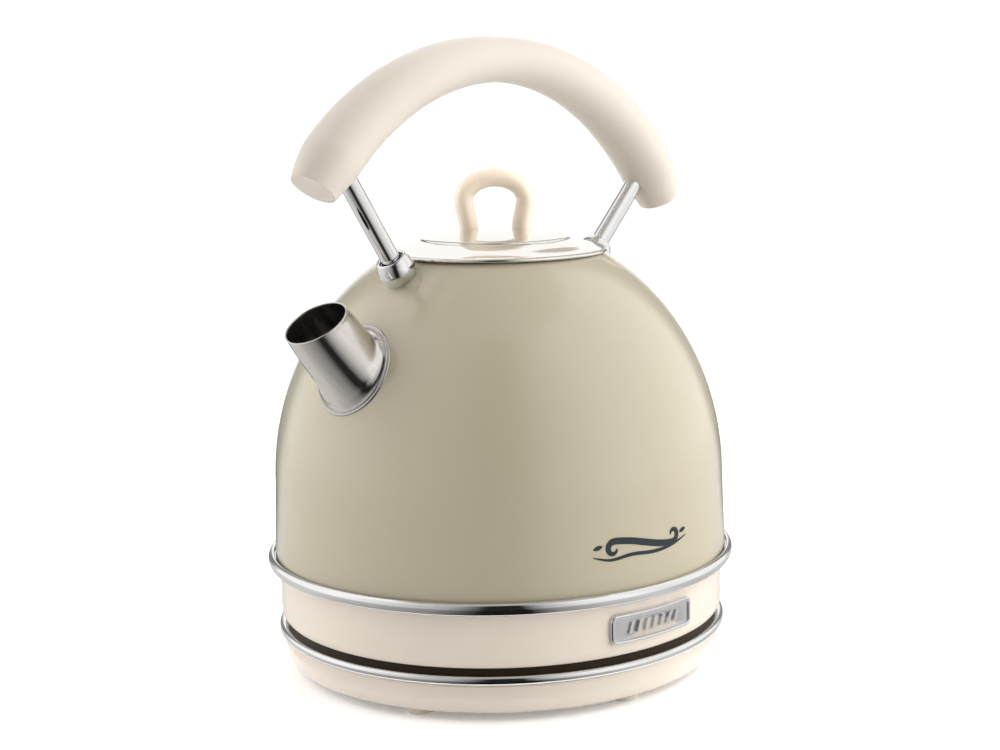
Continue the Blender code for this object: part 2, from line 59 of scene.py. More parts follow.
# %% [markdown]
# ## Camera
# The kettle is seen from a little above, 45 degrees off the plane of its handle, so that spout and handle
# open to the left and right. A camera can be aimed with angles or with a target. Here its three axes are
# worked out one after another, turn, pitch and roll, and written into its matrix, which leaves nothing
# hidden.

# %% Stand the camera
VIEW_TURN, VIEW_REACH, VIEW_HEIGHT = math.radians(-45), 0.737, 0.238
VIEW_YAW, VIEW_PITCH, VIEW_ROLL = math.radians(2.69), math.radians(9.44), math.radians(0.71)
UP = Vector((0, 0, 1))
look = Vector((-math.sin(VIEW_TURN), math.cos(VIEW_TURN), 0))
right = look.cross(UP)
camera = bpy.data.objects.new("camera", bpy.data.cameras.new("camera"))
bpy.context.scene.collection.objects.link(camera)
stand = Vector((AXIS_X, 0, VIEW_HEIGHT)) - look * VIEW_REACH
look, right = (look * math.cos(VIEW_YAW) + right * math.sin(VIEW_YAW),
               right * math.cos(VIEW_YAW) - look * math.sin(VIEW_YAW))
look, over = (look * math.cos(VIEW_PITCH) - UP * math.sin(VIEW_PITCH),
              look * math.sin(VIEW_PITCH) + UP * math.cos(VIEW_PITCH))
right, over = (right * math.cos(VIEW_ROLL) - over * math.sin(VIEW_ROLL),
               right * math.sin(VIEW_ROLL) + over * math.cos(VIEW_ROLL))
camera.matrix_world = Matrix.Translation(stand) @ Matrix((right, over, -look)).transposed().to_4x4()
camera.data.sensor_width, camera.data.lens, camera.data.shift_x = 36.0, 65.99, -0.083
bpy.context.scene.camera = camera
print("camera stands", round((stand - Vector((AXIS_X, 0, 0.12))).length, 3), "m from the kettle's middle")

# %% [markdown]
# ## Floor, tent and lamp
# Enamel and chrome belong in a white light tent: they show what is around them more than their own colour.
# The tent here is a tall glowing cylinder, dark in the slot that a camera looks through, with a bright side
# to the left and right and a dim strip behind each. Two walls stand in one place: one throws light on
# painted surfaces, the other is what polished ones mirror, so each can be set alone. Lamps alone would
# leave the chrome black between them.

# %% Build the studio
def nodes_of(material):
    """A material's node tree, its nodes and a short way to link two sockets."""
    material.use_nodes = True
    tree = material.node_tree
    return tree, tree.nodes, tree.links.new


def stage_mesh(name, verts, faces, material):
    mesh = bpy.data.meshes.new(name)
    mesh.from_pydata(verts, [], faces)
    mesh.materials.append(material)
    made = bpy.data.objects.new(name, mesh)
    bpy.context.scene.collection.objects.link(made)
    return made


def seen_only_by(made, *rays):
    for ray in ("camera", "diffuse", "glossy", "transmission", "shadow", "volume_scatter"):
        setattr(made, "visible_" + ray, ray in rays)


bpy.context.scene.view_settings.view_transform = "Standard"
world = bpy.data.worlds.new("studio")
bpy.context.scene.world = world
world.use_nodes = True
world.node_tree.nodes["Background"].inputs["Color"].default_value = (1.0, 1.0, 1.0, 1.0)
world.node_tree.nodes["Background"].inputs["Strength"].default_value = 1.05

pale = bpy.data.materials.new("pale floor")
_, pale_nodes, _ = nodes_of(pale)
pale_nodes["Principled BSDF"].inputs["Base Color"].default_value = (0.88, 0.88, 0.87, 1)
pale_nodes["Principled BSDF"].inputs["Roughness"].default_value = 0.6
pale_nodes["Principled BSDF"].inputs["Emission Color"].default_value = (1, 1, 1, 1)
pale_nodes["Principled BSDF"].inputs["Emission Strength"].default_value = 0.16
FLOOR_R, RIM = 1.55, 96
stage_mesh("floor", [(AXIS_X + FLOOR_R * math.cos(2 * math.pi * k / RIM),
                      FLOOR_R * math.sin(2 * math.pi * k / RIM), 0)
                     for k in range(RIM)], [tuple(range(RIM))], pale)

# %% Make the tent glow by angle
TENT_R, TENT_TOP, TENT_PANELS = 1.6, 3.2, 180
CAMERA_SIDE = math.degrees(VIEW_TURN) - 90
# how strongly the wall glows against degrees away from the camera's side: the light it
# throws on the painted surfaces, then what the polished ones mirror
TENT_GLOW = {
    "right": [(0, 0.02), (18, 0.02), (38, 1.7), (60, 4.1), (104, 4.4), (136, 3.1), (146, 0.3), (158, 0.35),
              (166, 1.2), (180, 1.2)],
    "left": [(0, 0.02), (16, 0.02), (44, 0.6), (60, 1.6), (84, 3.8), (132, 3.5), (144, 0.4), (156, 0.35),
             (164, 1.2), (180, 1.2)]}
MIRROR_GLOW = {
    "right": [(0, 0.02), (9, 0.02), (20, 0.5), (38, 0.95), (60, 1.15), (84, 0.95), (104, 1.1), (136, 1.1),
              (146, 0.25), (158, 0.3), (166, 1.12), (180, 1.12)],
    "left": [(0, 0.02), (8, 0.02), (26, 0.45), (60, 0.85), (84, 1.15), (132, 1.1), (144, 0.25), (156, 0.25),
             (164, 1.12), (180, 1.12)]}


def glow_at(table, degrees):
    side = table["right" if degrees >= 0 else "left"]
    d = abs(degrees)
    for (d0, g0), (d1, g1) in zip(side, side[1:]):
        if d <= d1:
            return g0 + (g1 - g0) * (d - d0) / (d1 - d0)
    return side[-1][1]


glowing = bpy.data.materials.new("tent glow")
_, glow_nodes, link = nodes_of(glowing)
glow_nodes.clear()
reading, glow, out = (glow_nodes.new(k) for k in ("ShaderNodeAttribute", "ShaderNodeEmission",
                                                  "ShaderNodeOutputMaterial"))
reading.attribute_name = "glow"
glow.inputs["Color"].default_value = (1.0, 0.985, 0.955, 1)
link(reading.outputs["Fac"], glow.inputs["Strength"])
link(glow.outputs[0], out.inputs[0])


def glowing_sheet(name, table, rims):
    """A sheet round the axis between rims of (radius, height, share of the table's glow)."""
    verts, strengths = [], []
    for radius, height, share in rims:
        for k in range(TENT_PANELS):
            compass = 360 * k / TENT_PANELS
            verts.append((AXIS_X + radius * math.cos(math.radians(compass)),
                          radius * math.sin(math.radians(compass)), height))
            strengths.append(share * glow_at(table, (compass - CAMERA_SIDE + 180) % 360 - 180))
    faces = [(i * TENT_PANELS + k, i * TENT_PANELS + (k + 1) % TENT_PANELS,
              (i + 1) * TENT_PANELS + (k + 1) % TENT_PANELS, (i + 1) * TENT_PANELS + k)
             for i in range(len(rims) - 1) for k in range(TENT_PANELS)]
    made = stage_mesh(name, verts, faces, glowing)
    made.data.attributes.new("glow", "FLOAT", "POINT").data.foreach_set("value", strengths)
    return made


WALL, JUST_OVER = [(TENT_R, 0.0, 1.0), (TENT_R, TENT_TOP, 1.0)], 0.0004
seen_only_by(glowing_sheet("tent wall", TENT_GLOW, WALL), "diffuse")
seen_only_by(glowing_sheet("mirrored wall", MIRROR_GLOW, WALL), "glossy")
# mirrors also see the light carried across the table, and everything sees the ceiling
seen_only_by(glowing_sheet("mirrored table", MIRROR_GLOW,
                           [(0.1, JUST_OVER, 0.6), (0.5, JUST_OVER, 0.75), (TENT_R, JUST_OVER, 1.0)]),
             "glossy")
CEILING = {side: [(0, 0.5), (180, 0.5)] for side in ("right", "left")}
seen_only_by(glowing_sheet("tent ceiling", CEILING, [(TENT_R, TENT_TOP, 1.0), (0.0, TENT_TOP, 1.0)]),
             "diffuse", "glossy")

print("tent:", TENT_PANELS, "panels,", len(TENT_GLOW["right"]) + len(TENT_GLOW["left"]), "set angles")

# %% Hang a soft lamp
lamp = bpy.data.objects.new("top lamp", bpy.data.lights.new("top lamp", "AREA"))
bpy.context.scene.collection.objects.link(lamp)
lamp.data.shape, lamp.data.size, lamp.data.size_y, lamp.data.energy = "RECTANGLE", 0.9, 0.6, 2.2
lamp.location = (0.25, 0.05, 1.2)
lamp.rotation_euler = (Vector((0, 0, 0.1)) - lamp.location).to_track_quat("-Z", "Y").to_euler()
lamp.visible_camera = lamp.visible_glossy = False
print("studio: floor, tent and", lamp.name)

# %% [markdown]
# ## Finishes
# A moulded or painted surface is never one flat colour. Each finish below is a Principled shader whose
# colour, roughness and relief drift a little with noise read on Object coordinates, in metres, so a pattern
# keeps its true size on every piece. What is the same all over a surface is set on the shader's own socket.


# %% Tools for finishes
def finish(name, colour, rough, **sockets):
    made = bpy.data.materials.new(name)
    _, nodes, _ = nodes_of(made)
    shader = nodes["Principled BSDF"]
    shader.inputs["Base Color"].default_value = (*colour, 1)
    shader.inputs["Roughness"].default_value = rough
    for label, value in sockets.items():
        shader.inputs[label.replace("_", " ")].default_value = value
    return made


def grain(made, scale, detail=3.0, stretch=(1, 1, 1), turn=(0, 0, 0), centre=(0, 0, 0), rings=False):
    """Noise in the piece's own metres; rings makes it depend only on the distance from the upright axis."""
    _, nodes, link = nodes_of(made)
    where, place, noise = (nodes.new(k) for k in ("ShaderNodeTexCoord", "ShaderNodeMapping",
                                                  "ShaderNodeTexNoise"))
    place.vector_type = "TEXTURE"
    place.inputs["Location"].default_value = centre
    place.inputs["Rotation"].default_value = turn
    place.inputs["Scale"].default_value = stretch
    noise.inputs["Scale"].default_value, noise.inputs["Detail"].default_value = scale, detail
    link(where.outputs["Object"], place.inputs["Vector"])
    if rings:
        flat, reach = nodes.new("ShaderNodeVectorMath"), nodes.new("ShaderNodeVectorMath")
        flat.operation, reach.operation = "MULTIPLY", "LENGTH"
        flat.inputs[1].default_value = (1, 1, 0)
        link(place.outputs[0], flat.inputs[0])
        link(flat.outputs[0], reach.inputs[0])
        noise.noise_dimensions = "1D"
        link(reach.outputs["Value"], noise.inputs["W"])
    else:
        link(place.outputs[0], noise.inputs["Vector"])
    return noise.outputs["Fac"]


def drift(made, fac, low, high):
    """Lets the roughness wander between low and high with the noise."""
    _, nodes, link = nodes_of(made)
    span = nodes.new("ShaderNodeMapRange")
    for label, value in (("From Min", 0.3), ("From Max", 0.7), ("To Min", low), ("To Max", high)):
        span.inputs[label].default_value = value
    link(fac, span.inputs["Value"])
    link(span.outputs[0], nodes["Principled BSDF"].inputs["Roughness"])


def shade(made, fac, one, two):
    """Lets the colour wander between two near tones."""
    _, nodes, link = nodes_of(made)
    ramp = nodes.new("ShaderNodeValToRGB")
    ramp.color_ramp.elements[0].position, ramp.color_ramp.elements[1].position = 0.32, 0.68
    ramp.color_ramp.elements[0].color, ramp.color_ramp.elements[1].color = (*one, 1), (*two, 1)
    link(fac, ramp.inputs["Fac"])
    link(ramp.outputs["Color"], nodes["Principled BSDF"].inputs["Base Color"])


def relief(made, fac, height):
    """Raises the surface by height metres; a second call is stacked on the first."""
    _, nodes, link = nodes_of(made)
    bump, shader = nodes.new("ShaderNodeBump"), nodes["Principled BSDF"]
    bump.inputs["Distance"].default_value, bump.inputs["Strength"].default_value = height, 1.0
    if shader.inputs["Normal"].links:
        link(shader.inputs["Normal"].links[0].from_socket, bump.inputs["Normal"])
    link(fac, bump.inputs["Height"])
    link(bump.outputs["Normal"], shader.inputs["Normal"])


FINISH = {}

# %% [markdown]
# ### Sage enamel
# The dome is steel sprayed with a baked sage lacquer under a clear coat. The coat is a second, sharper
# gloss over a softer base, and the faint waviness of sprayed lacquer is a relief a few thousandths of a
# millimetre high and several millimetres long, which only shows as a slight wander in the mirrored light.

# %% Mix the enamel
sage = finish("sage enamel", (0.34, 0.307, 0.222), 0.30, Coat_Weight=1.0, Coat_Roughness=0.04, Coat_IOR=1.5)
shade(sage, grain(sage, 9, 1), (0.337, 0.304, 0.220), (0.346, 0.313, 0.227))
drift(sage, grain(sage, 30, 2), 0.29, 0.31)
relief(sage, grain(sage, 160, 1), 0.0000022)
FINISH["sage_paint"] = sage
print("enamel mixed:", sage.name)

# %% [markdown]
# ### Cream plastics
# The lower band, the base and the lid's loop are gloss mouldings. The grip is the same cream with a fine
# spark texture from its mould, which makes it matte and warm to hold. One function makes them all, because
# only the gloss and the depth of the grain differ.


# %% Mould the creams
def moulded(name, colour, gloss, grain_size, depth, **sockets):
    made = finish(name, colour, gloss, **sockets)
    lighter = tuple(min(1.0, c * 1.025) for c in colour)
    shade(made, grain(made, 22, 2), tuple(c * 0.985 for c in colour), lighter)
    drift(made, grain(made, 60, 2), gloss * 0.94, gloss * 1.07)
    relief(made, grain(made, 1.0 / grain_size, 4), depth)
    return made


FINISH["cream_plastic"] = moulded("gloss cream", (0.57, 0.508, 0.448), 0.22, 0.006, 0.000002,
                                  Coat_Weight=0.5, Coat_Roughness=0.06)
FINISH["warm_cream_plastic"] = moulded("warm cream", (0.74, 0.63, 0.505), 0.28, 0.005, 0.000002,
                                       Coat_Weight=0.3, Coat_Roughness=0.12)
FINISH["matte_cream_plastic"] = moulded("matte cream", (0.45, 0.408, 0.364), 0.50, 0.0005, 0.00002,
                                        Sheen_Weight=0.15, Sheen_Roughness=0.5)
FINISH["cream_rubber"] = moulded("cream rubber", (0.58, 0.53, 0.46), 0.62, 0.0007, 0.00004)
print("plastics:", len(FINISH) - 1)

# %% [markdown]
# ### Metals
# Chrome is nearly a mirror, with polishing haze too fine to see except as a drift in roughness. The spout
# is drawn steel brushed round its girth, so its noise is squeezed along the spout's axis. The lid is turned
# on a lathe, so its noise depends on the distance from the axis and leaves very fine rings.

# %% Polish and brush the metals
chrome = finish("chrome", (0.80, 0.805, 0.82), 0.05, Metallic=1.0)
drift(chrome, grain(chrome, 60, 2), 0.03, 0.06)
relief(chrome, grain(chrome, 55, 1), 0.000003)
FINISH["chrome"] = chrome


def steel(name, colour, low, high, **pattern):
    made = finish(name, colour, low, Metallic=1.0)
    lines = grain(made, **pattern)
    drift(made, lines, low, high)
    shade(made, lines, tuple(c * 0.95 for c in colour), tuple(min(1, c * 1.03) for c in colour))
    relief(made, lines, 0.0000015)
    return made


FINISH["brushed_steel"] = steel("plain steel", (0.56, 0.545, 0.53), 0.18, 0.28, scale=900,
                                stretch=(1, 1, 0.05))
SPOUT_SLOPE = math.radians(43)
spout_steel = steel("brushed spout steel", (0.72, 0.69, 0.665), 0.15, 0.20, scale=40,
                    turn=(0, -SPOUT_SLOPE, 0), stretch=(0.02, 1, 1))
lid_steel = steel("turned lid steel", (0.86, 0.85, 0.835), 0.04, 0.07, scale=2600, centre=(AXIS_X, 0, 0),
                  rings=True)
FINISH["aluminium"] = steel("cast aluminium", (0.74, 0.75, 0.76), 0.34, 0.48, scale=700)
FINISH["brass"] = steel("contact brass", (0.79, 0.58, 0.25), 0.20, 0.34, scale=1200, rings=True,
                        centre=(AXIS_X, 0, 0))
FINISH["badge_silver"] = steel("badge silver", (0.76, 0.76, 0.78), 0.34, 0.42, scale=1500)
print("finishes so far:", ", ".join(sorted(FINISH)))

# %% [markdown]
# ### Nylon, silicone, lens and ink
# The hidden works are dark glass-filled nylon with a visible fleck, the seals are grey silicone, and the
# lamp has a clear amber lens. The mark on the dome is a slate print, slightly raised and silky like screen
# ink.

# %% Finish the small materials
nylon = finish("dark nylon", (0.030, 0.026, 0.023), 0.42)
shade(nylon, grain(nylon, 900, 5), (0.022, 0.019, 0.017), (0.045, 0.040, 0.036))
relief(nylon, grain(nylon, 1400, 3), 0.00003)
FINISH["dark_nylon"] = nylon
silicone = finish("grey silicone", (0.30, 0.29, 0.28), 0.6)
shade(silicone, grain(silicone, 300, 3), (0.27, 0.26, 0.25), (0.33, 0.32, 0.31))
FINISH["grey_silicone"] = silicone
amber = finish("amber lens", (0.85, 0.25, 0.03), 0.08, Transmission_Weight=0.35, Coat_Weight=1.0, IOR=1.49)
shade(amber, grain(amber, 600, 2), (0.80, 0.21, 0.02), (0.90, 0.30, 0.05))
FINISH["amber_lens"] = amber
ink = finish("slate ink", (0.014, 0.022, 0.030), 0.5, Specular_IOR_Level=0.3)
shade(ink, grain(ink, 500, 3), (0.012, 0.020, 0.027), (0.017, 0.026, 0.035))
# painted shade: this near-black brown stands for the deep shade in the narrow gap between the kettle's lower
# band and the base
painted_gap_shade = finish("painted deck shade", (0.022, 0.012, 0.004), 0.45, Specular_IOR_Level=0.2)
shade(painted_gap_shade, grain(painted_gap_shade, 200, 3), (0.020, 0.011, 0.0035), (0.026, 0.014, 0.005))
print("finishes ready:", ", ".join(sorted(FINISH)))

# %% [markdown]
# ## Turning tools
# Most of a kettle is round, so most pieces are an outline of (radius, height) spun about an axis. The Screw
# modifier does this too, but a short function gives closed shells, exact poles and no seam to merge.
# Corners are first rounded, because a knife-sharp edge catches no light and looks like paper.


# %% Make a piece from points
def place_at(x=0.0, y=0.0, z=0.0, axis=(0, 0, 1)):
    """Takes a piece's own millimetres to the frame's metres, with its Z laid along axis."""
    turn = UP.rotation_difference(Vector(axis).normalized()).to_matrix().to_4x4()
    return Matrix.Translation(Vector((AXIS_X + x * MM, y * MM, z * MM))) @ turn @ Matrix.Scale(MM, 4)


def settle(piece, sharp=48):
    """Applies the modifiers, marks hard edges and weights normals by area, so that flats stay flat."""
    view = bpy.context.evaluated_depsgraph_get()
    for first in (True, False):
        baked = bpy.data.meshes.new_from_object(piece.evaluated_get(view), depsgraph=view)
        piece.modifiers.clear()
        piece.data = baked
        if first:
            for face in baked.polygons:
                face.use_smooth = True
            baked.set_sharp_from_angle(angle=math.radians(sharp))
            piece.modifiers.new("even normals", "WEIGHTED_NORMAL").keep_sharp = True
            view.update()
    piece.data.name = piece.name
    return piece


def piece_of(name, points, faces, material, sharp=48):
    mesh = bpy.data.meshes.new(name)
    mesh.from_pydata(points, [], faces)
    bm = bmesh.new()
    bm.from_mesh(mesh)
    bmesh.ops.remove_doubles(bm, verts=bm.verts, dist=1e-7)
    bmesh.ops.recalc_face_normals(bm, faces=bm.faces)
    bm.to_mesh(mesh)
    bm.free()
    mesh.materials.append(material)
    made = bpy.data.objects.new(name, mesh)
    bpy.context.scene.collection.objects.link(made)
    return settle(made, sharp)


# %% Round the corners and spin
def rounded(outline, radius, parts=4, from_degrees=25):
    """Rounds the corners of a closed outline."""
    out = []
    for k, here in enumerate(outline):
        here = Vector(here)
        back = Vector(outline[k - 1]) - here
        ahead = Vector(outline[(k + 1) % len(outline)]) - here
        if here.x < 1e-6 or 180 - math.degrees(back.angle(ahead)) < from_degrees:
            out.append(tuple(here))
            continue
        reach = min(radius, back.length * 0.45, ahead.length * 0.45)
        start, end = here + back.normalized() * reach, here + ahead.normalized() * reach
        for s in range(parts + 1):
            t = s / parts
            out.append(tuple(start.lerp(here, t).lerp(here.lerp(end, t), t)))
    return out


def flowing(points, parts=5):
    """A smooth line through the points, which may be tuples of any length."""
    out = []
    pts = [Vector(p) for p in points]
    pts = [pts[0] * 2 - pts[1]] + pts + [pts[-1] * 2 - pts[-2]]
    for p0, p1, p2, p3 in zip(pts, pts[1:], pts[2:], pts[3:]):
        t1 = max(1e-9, (p1 - p0).length) ** 0.5
        t2 = t1 + max(1e-9, (p2 - p1).length) ** 0.5
        t3 = t2 + max(1e-9, (p3 - p2).length) ** 0.5
        for s in range(parts):
            t = t1 + (t2 - t1) * s / parts
            a = p0.lerp(p1, t / t1)
            b = p1.lerp(p2, (t - t1) / (t2 - t1))
            c = p2.lerp(p3, (t - t2) / (t3 - t2))
            d = a.lerp(b, t / t2)
            e = b.lerp(c, (t - t1) / (t3 - t1))
            out.append(tuple(d.lerp(e, (t - t1) / (t2 - t1))))
    return out + [tuple(points[-1])]


def turned(name, outline, material, place=None, steps=144, sharp=48):
    """Spins a closed outline of (radius, height) in millimetres about the place's Z."""
    place = place or place_at()
    points, rings, faces = [], [], []
    for r, h in outline:
        count = 1 if r < 1e-6 else steps
        rings.append([len(points) + k for k in range(count)])
        turns = [2 * math.pi * k / steps for k in range(count)]
        points += [place @ Vector((r * math.cos(a), r * math.sin(a), h)) for a in turns]
    for one, two in zip(rings, rings[1:] + rings[:1]):
        for k in range(steps):
            n = (k + 1) % steps
            corner = dict.fromkeys((one[k % len(one)], one[n % len(one)], two[n % len(two)],
                                    two[k % len(two)]))
            if len(corner) > 2:
                faces.append(tuple(corner))
    return piece_of(name, points, faces, material, sharp)


def lofted(name, rings, material, closed=False, sharp=48):
    """Joins rings of equal length; closed joins the last to the first, otherwise both ends are capped."""
    count = len(rings[0])
    points = [p for ring in rings for p in ring]
    faces = []
    spans = len(rings) if closed else len(rings) - 1
    for i in range(spans):
        one, two = i * count, (i + 1) % len(rings) * count
        faces += [(one + k, one + (k + 1) % count, two + (k + 1) % count, two + k) for k in range(count)]
    if not closed:
        faces += [tuple(range(count)), tuple(range(len(points) - count, len(points)))]
    return piece_of(name, points, faces, material, sharp)


def bored(piece, radius, place, low=-20, high=20):
    """Drills a round hole through a piece."""
    drill = turned("drill", [(0, low), (radius, low), (radius, high), (0, high)], piece.data.materials[0],
                   place, 96)
    return cut_by(piece, drill)


def cut_by(piece, cutter):
    step = piece.modifiers.new("cut", "BOOLEAN")
    step.operation, step.object, step.solver = "DIFFERENCE", cutter, "EXACT"
    bpy.context.view_layer.update()
    settle(piece)
    bpy.data.objects.remove(cutter)
    return piece


def fitted(piece, body, slot, *stands_for):
    """Ties a finished piece to its body and hides the plain solids it stands for; slot is not used."""
    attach(piece, body)
    if stands_for:
        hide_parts(*stands_for)
    print(f"{piece.name}: {len(piece.data.polygons)} faces on {body}")
    return piece


# %% [markdown]
# ## Power base
# The base is a shallow cream dish with a rolled lower edge, a chrome ring let into a step, and a raised
# deck that centres the kettle. In the middle stands the round connector, which works at any turn of the
# kettle because its contacts are rings. All of it is turned; only the feet and screws repeat round a
# circle.

# %% Turn the base
cream = FINISH["cream_plastic"]
base = turned("base_dish", rounded([
    (83.0, 3.2), (85.6, 3.0), (86.9, 3.7), (87.9, 4.9), (88.8, 7.2), (89.4, 10.4), (89.6, 12.6),
    (89.6, 14.9), (87.6, 14.9), (87.6, 20.9), (82.0, 20.9), (80.0, 18.0), (20.6, 18.0), (20.6, 16.0),
    (80.9, 16.0), (82.8, 18.9), (85.6, 18.9), (85.6, 12.9), (87.4, 12.9), (86.9, 8.0),
    (85.7, 5.4)], 0.5), cream, steps=160)
fitted(base, "power_base", "cream_plastic", "base_housing")
# painted shade: a thin dark band standing for the shade in the gap under the lower band, though it is given
# the nylon slot
band = turned("base_shadow_band", rounded([(87.55, 18.4), (87.85, 18.4), (87.85, 20.8), (87.5, 21.0),
                                           (86.2, 21.0), (86.2, 20.85),
                                           (87.55, 20.85)], 0.1), painted_gap_shade, steps=160)
fitted(band, "power_base", "dark_nylon")
ring = turned("base_chrome_ring", [(87.95, 15.2)] + flowing(
    [(89.6, 15.2), (90.6, 15.3), (91.2, 15.9), (91.4, 16.9), (91.1, 17.9), (90.3, 18.5), (89.2, 18.65)], 5)
    + [(87.95, 18.6)], chrome, steps=192)
fitted(ring, "power_base", "chrome", "base_trim_ring")

# %% Turn the connector's two halves
ROUND_WORKS = {
    "base_socket": ("power_base", "dark_nylon", 0.5, [
        (0, 12.4), (24, 12.4), (24, 15.6), (18.5, 15.6), (18.5, 34.0), (15.6, 34.0), (15.6, 26.0),
        (12.8, 26.0), (12.8, 34.0), (10.2, 34.0), (10.2, 16.5), (0, 16.5)]),
    "contact_pin": ("power_base", "brass", 0.6, [(0, 16.8), (2.2, 16.8), (2.2, 31.2), (0, 31.2)]),
    "contact_ring": ("power_base", "brass", 0.3, [(13.3, 26.4), (15.1, 26.4), (15.1, 32.0), (13.3, 32.0)]),
    "earth_ring": ("power_base", "brass", 0.3, [(18.9, 20.0), (19.7, 20.0), (19.7, 25.0), (18.9, 25.0)]),
    "connector_plug": ("connector", "dark_nylon", 0.5, [
        (4.4, 22.6), (8.4, 22.6), (8.4, 35.9), (20.5, 35.9), (20.5, 22.4), (22.7, 22.4), (22.7, 38.0),
        (0, 38.0), (0, 34.5), (4.4, 34.5)]),
    "plug_pin_sleeve": ("connector", "brass", 0.3, [(2.7, 23.0), (4.0, 23.0), (4.0, 34.1), (2.7, 34.1)]),
    "plug_ring_contact": ("connector", "brass", 0.3,
                          [(13.3, 32.4), (15.1, 32.4), (15.1, 35.5), (13.3, 35.5)]),
    "skirt_floor": ("kettle", "dark_nylon", 0.5, [
        (23.5, 23.6), (87.7, 23.6), (87.7, 25.2), (25.6, 25.2), (25.6, 34.0), (23.5, 34.0)]),
}
for node, (body, slot, soft, outline) in ROUND_WORKS.items():
    fitted(turned("smooth_" + node, rounded(outline, soft), FINISH[slot], steps=96), body, slot, node)

# %% [markdown]
# ## A ring of feet
# Four rubber feet stand under the rim, in two pairs. They are one shape repeated round a circle, which is
# what Geometry Nodes are for: a circle of points, some of them skipped, and the foot placed on each. The
# sizes are named inputs, so the same tree can make a ring of any small part.


# %% Tools for node trees
def new_tree(name, **sizes):
    """A geometry tree with one input for its starting mesh and one for each named size."""
    tree = bpy.data.node_groups.new(name, "GeometryNodeTree")
    tree.interface.new_socket("Geometry", in_out="INPUT", socket_type="NodeSocketGeometry")
    for label, value in sizes.items():
        kind = {int: "NodeSocketInt", float: "NodeSocketFloat"}.get(type(value), "NodeSocketMaterial")
        socket = tree.interface.new_socket(label.replace("_", " "), in_out="INPUT", socket_type=kind)
        socket.default_value = value
    tree.interface.new_socket("Geometry", in_out="OUTPUT", socket_type="NodeSocketGeometry")
    return tree, tree.nodes.new("NodeGroupInput").outputs


def add(tree, kind, out=0, setup=None, **inputs):
    """Adds a node, plugs its inputs by name (_ for a space) or by number (n0, n1), and returns one output."""
    node = tree.nodes.new(kind)
    for key, value in (setup or {}).items():
        setattr(node, key, value)
    for key, value in inputs.items():
        by_number = key[0] == "n" and key[1:].isdigit()
        socket = node.inputs[int(key[1:]) if by_number else key.replace("_", " ")]
        if isinstance(value, bpy.types.NodeSocket):
            tree.links.new(value, socket)
        else:
            socket.default_value = value
    return node.outputs[out]


def sums(tree, operation, a, b=0.0, c=0.0):
    return add(tree, "ShaderNodeMath", setup={"operation": operation}, n0=a, n1=b, n2=c)


def end_tree(tree, shape, material):
    """Every tree ends in real geometry with its finish set."""
    real = add(tree, "GeometryNodeRealizeInstances", Geometry=shape)
    done = add(tree, "GeometryNodeSetMaterial", Geometry=real, Material=material)
    tree.links.new(done, tree.nodes.new("NodeGroupOutput").inputs[0])
    return tree


def grown(name, tree, start=None, **sizes):
    """Runs a tree on a starting mesh and keeps the result as a plain mesh."""
    made = bpy.data.objects.new(name, start or bpy.data.meshes.new(name))
    bpy.context.scene.collection.objects.link(made)
    step = made.modifiers.new("grow", "NODES")
    step.node_group = tree
    for item in tree.interface.items_tree:
        if item.in_out == "INPUT" and item.name.replace(" ", "_") in sizes:
            step[item.identifier] = sizes[item.name.replace(" ", "_")]
    bpy.context.view_layer.update()
    return settle(made)


# %% Stand the feet
circle_tree, size = new_tree("parts round a circle", Count=6, Skip_every=3, Ring_radius=0.078,
                             First_angle=0.0, Centre_X=0.0,
                             Finish=FINISH["cream_rubber"])
spin = add(circle_tree, "GeometryNodeInputIndex")
turn = sums(circle_tree, "ADD", size["First angle"],
            sums(circle_tree, "MULTIPLY", spin, sums(circle_tree, "DIVIDE", 2 * math.pi, size["Count"])))
spot = add(circle_tree, "ShaderNodeCombineXYZ",
           X=sums(circle_tree, "MULTIPLY_ADD", sums(circle_tree, "COSINE", turn), size["Ring radius"],
                  size["Centre X"]),
           Y=sums(circle_tree, "MULTIPLY", sums(circle_tree, "SINE", turn), size["Ring radius"]))
dots = add(circle_tree, "GeometryNodeMeshLine", Count=size["Count"])
laid = add(circle_tree, "GeometryNodeSetPosition", Geometry=dots, Position=spot)
last = sums(circle_tree, "SUBTRACT", size["Skip every"], 1.0)
skip = sums(circle_tree, "COMPARE", sums(circle_tree, "MODULO", spin, size["Skip every"]), last, 0.1)
left = add(circle_tree, "GeometryNodeDeleteGeometry", Geometry=laid, Selection=skip)
copies = add(circle_tree, "GeometryNodeInstanceOnPoints", Points=left, Instance=size["Geometry"])
end_tree(circle_tree, copies, size["Finish"])

foot = turned("foot_shape", rounded([(0, 0), (5.5, 0), (5.5, 2.4), (4.4, 3.4), (0, 3.4)], 0.6),
              FINISH["cream_rubber"], Matrix.Scale(MM, 4),
              40)
feet = grown("feet", circle_tree, foot.data, Count=6, Skip_every=3, Ring_radius=0.078,
             First_angle=math.radians(-159), Centre_X=AXIS_X, Finish=FINISH["cream_rubber"])
bpy.data.objects.remove(foot)
fitted(feet, "power_base", "cream_rubber", "foot_1", "foot_2", "foot_3", "foot_4")

# %% [markdown]
# ## The lower band
# The cream band hides the switch works. At the back it has a window for the lever and a hole for the lamp,
# cut with boolean shapes after the band is turned, as a mould's side cores would leave them. The chrome
# ring above it has a rolled lip that stands clear of the dome and leaves a fine dark line.

# %% Turn and cut the band
BAND_R, WORKS_Z, LAMP_TURN = 90.3, 31.5, math.radians(13)
lamp_out = Vector((math.cos(LAMP_TURN), math.sin(LAMP_TURN), 0))
skirt = turned("lower_band", rounded([
    (BAND_R, 42.0), (BAND_R, 24.6), (90.0, 23.0), (89.4, 21.8), (88.6, 21.2), (86.4, 21.2), (86.4, 23.2),
    (88.1, 23.2), (88.1, 42.0)], 0.4), cream, steps=192)


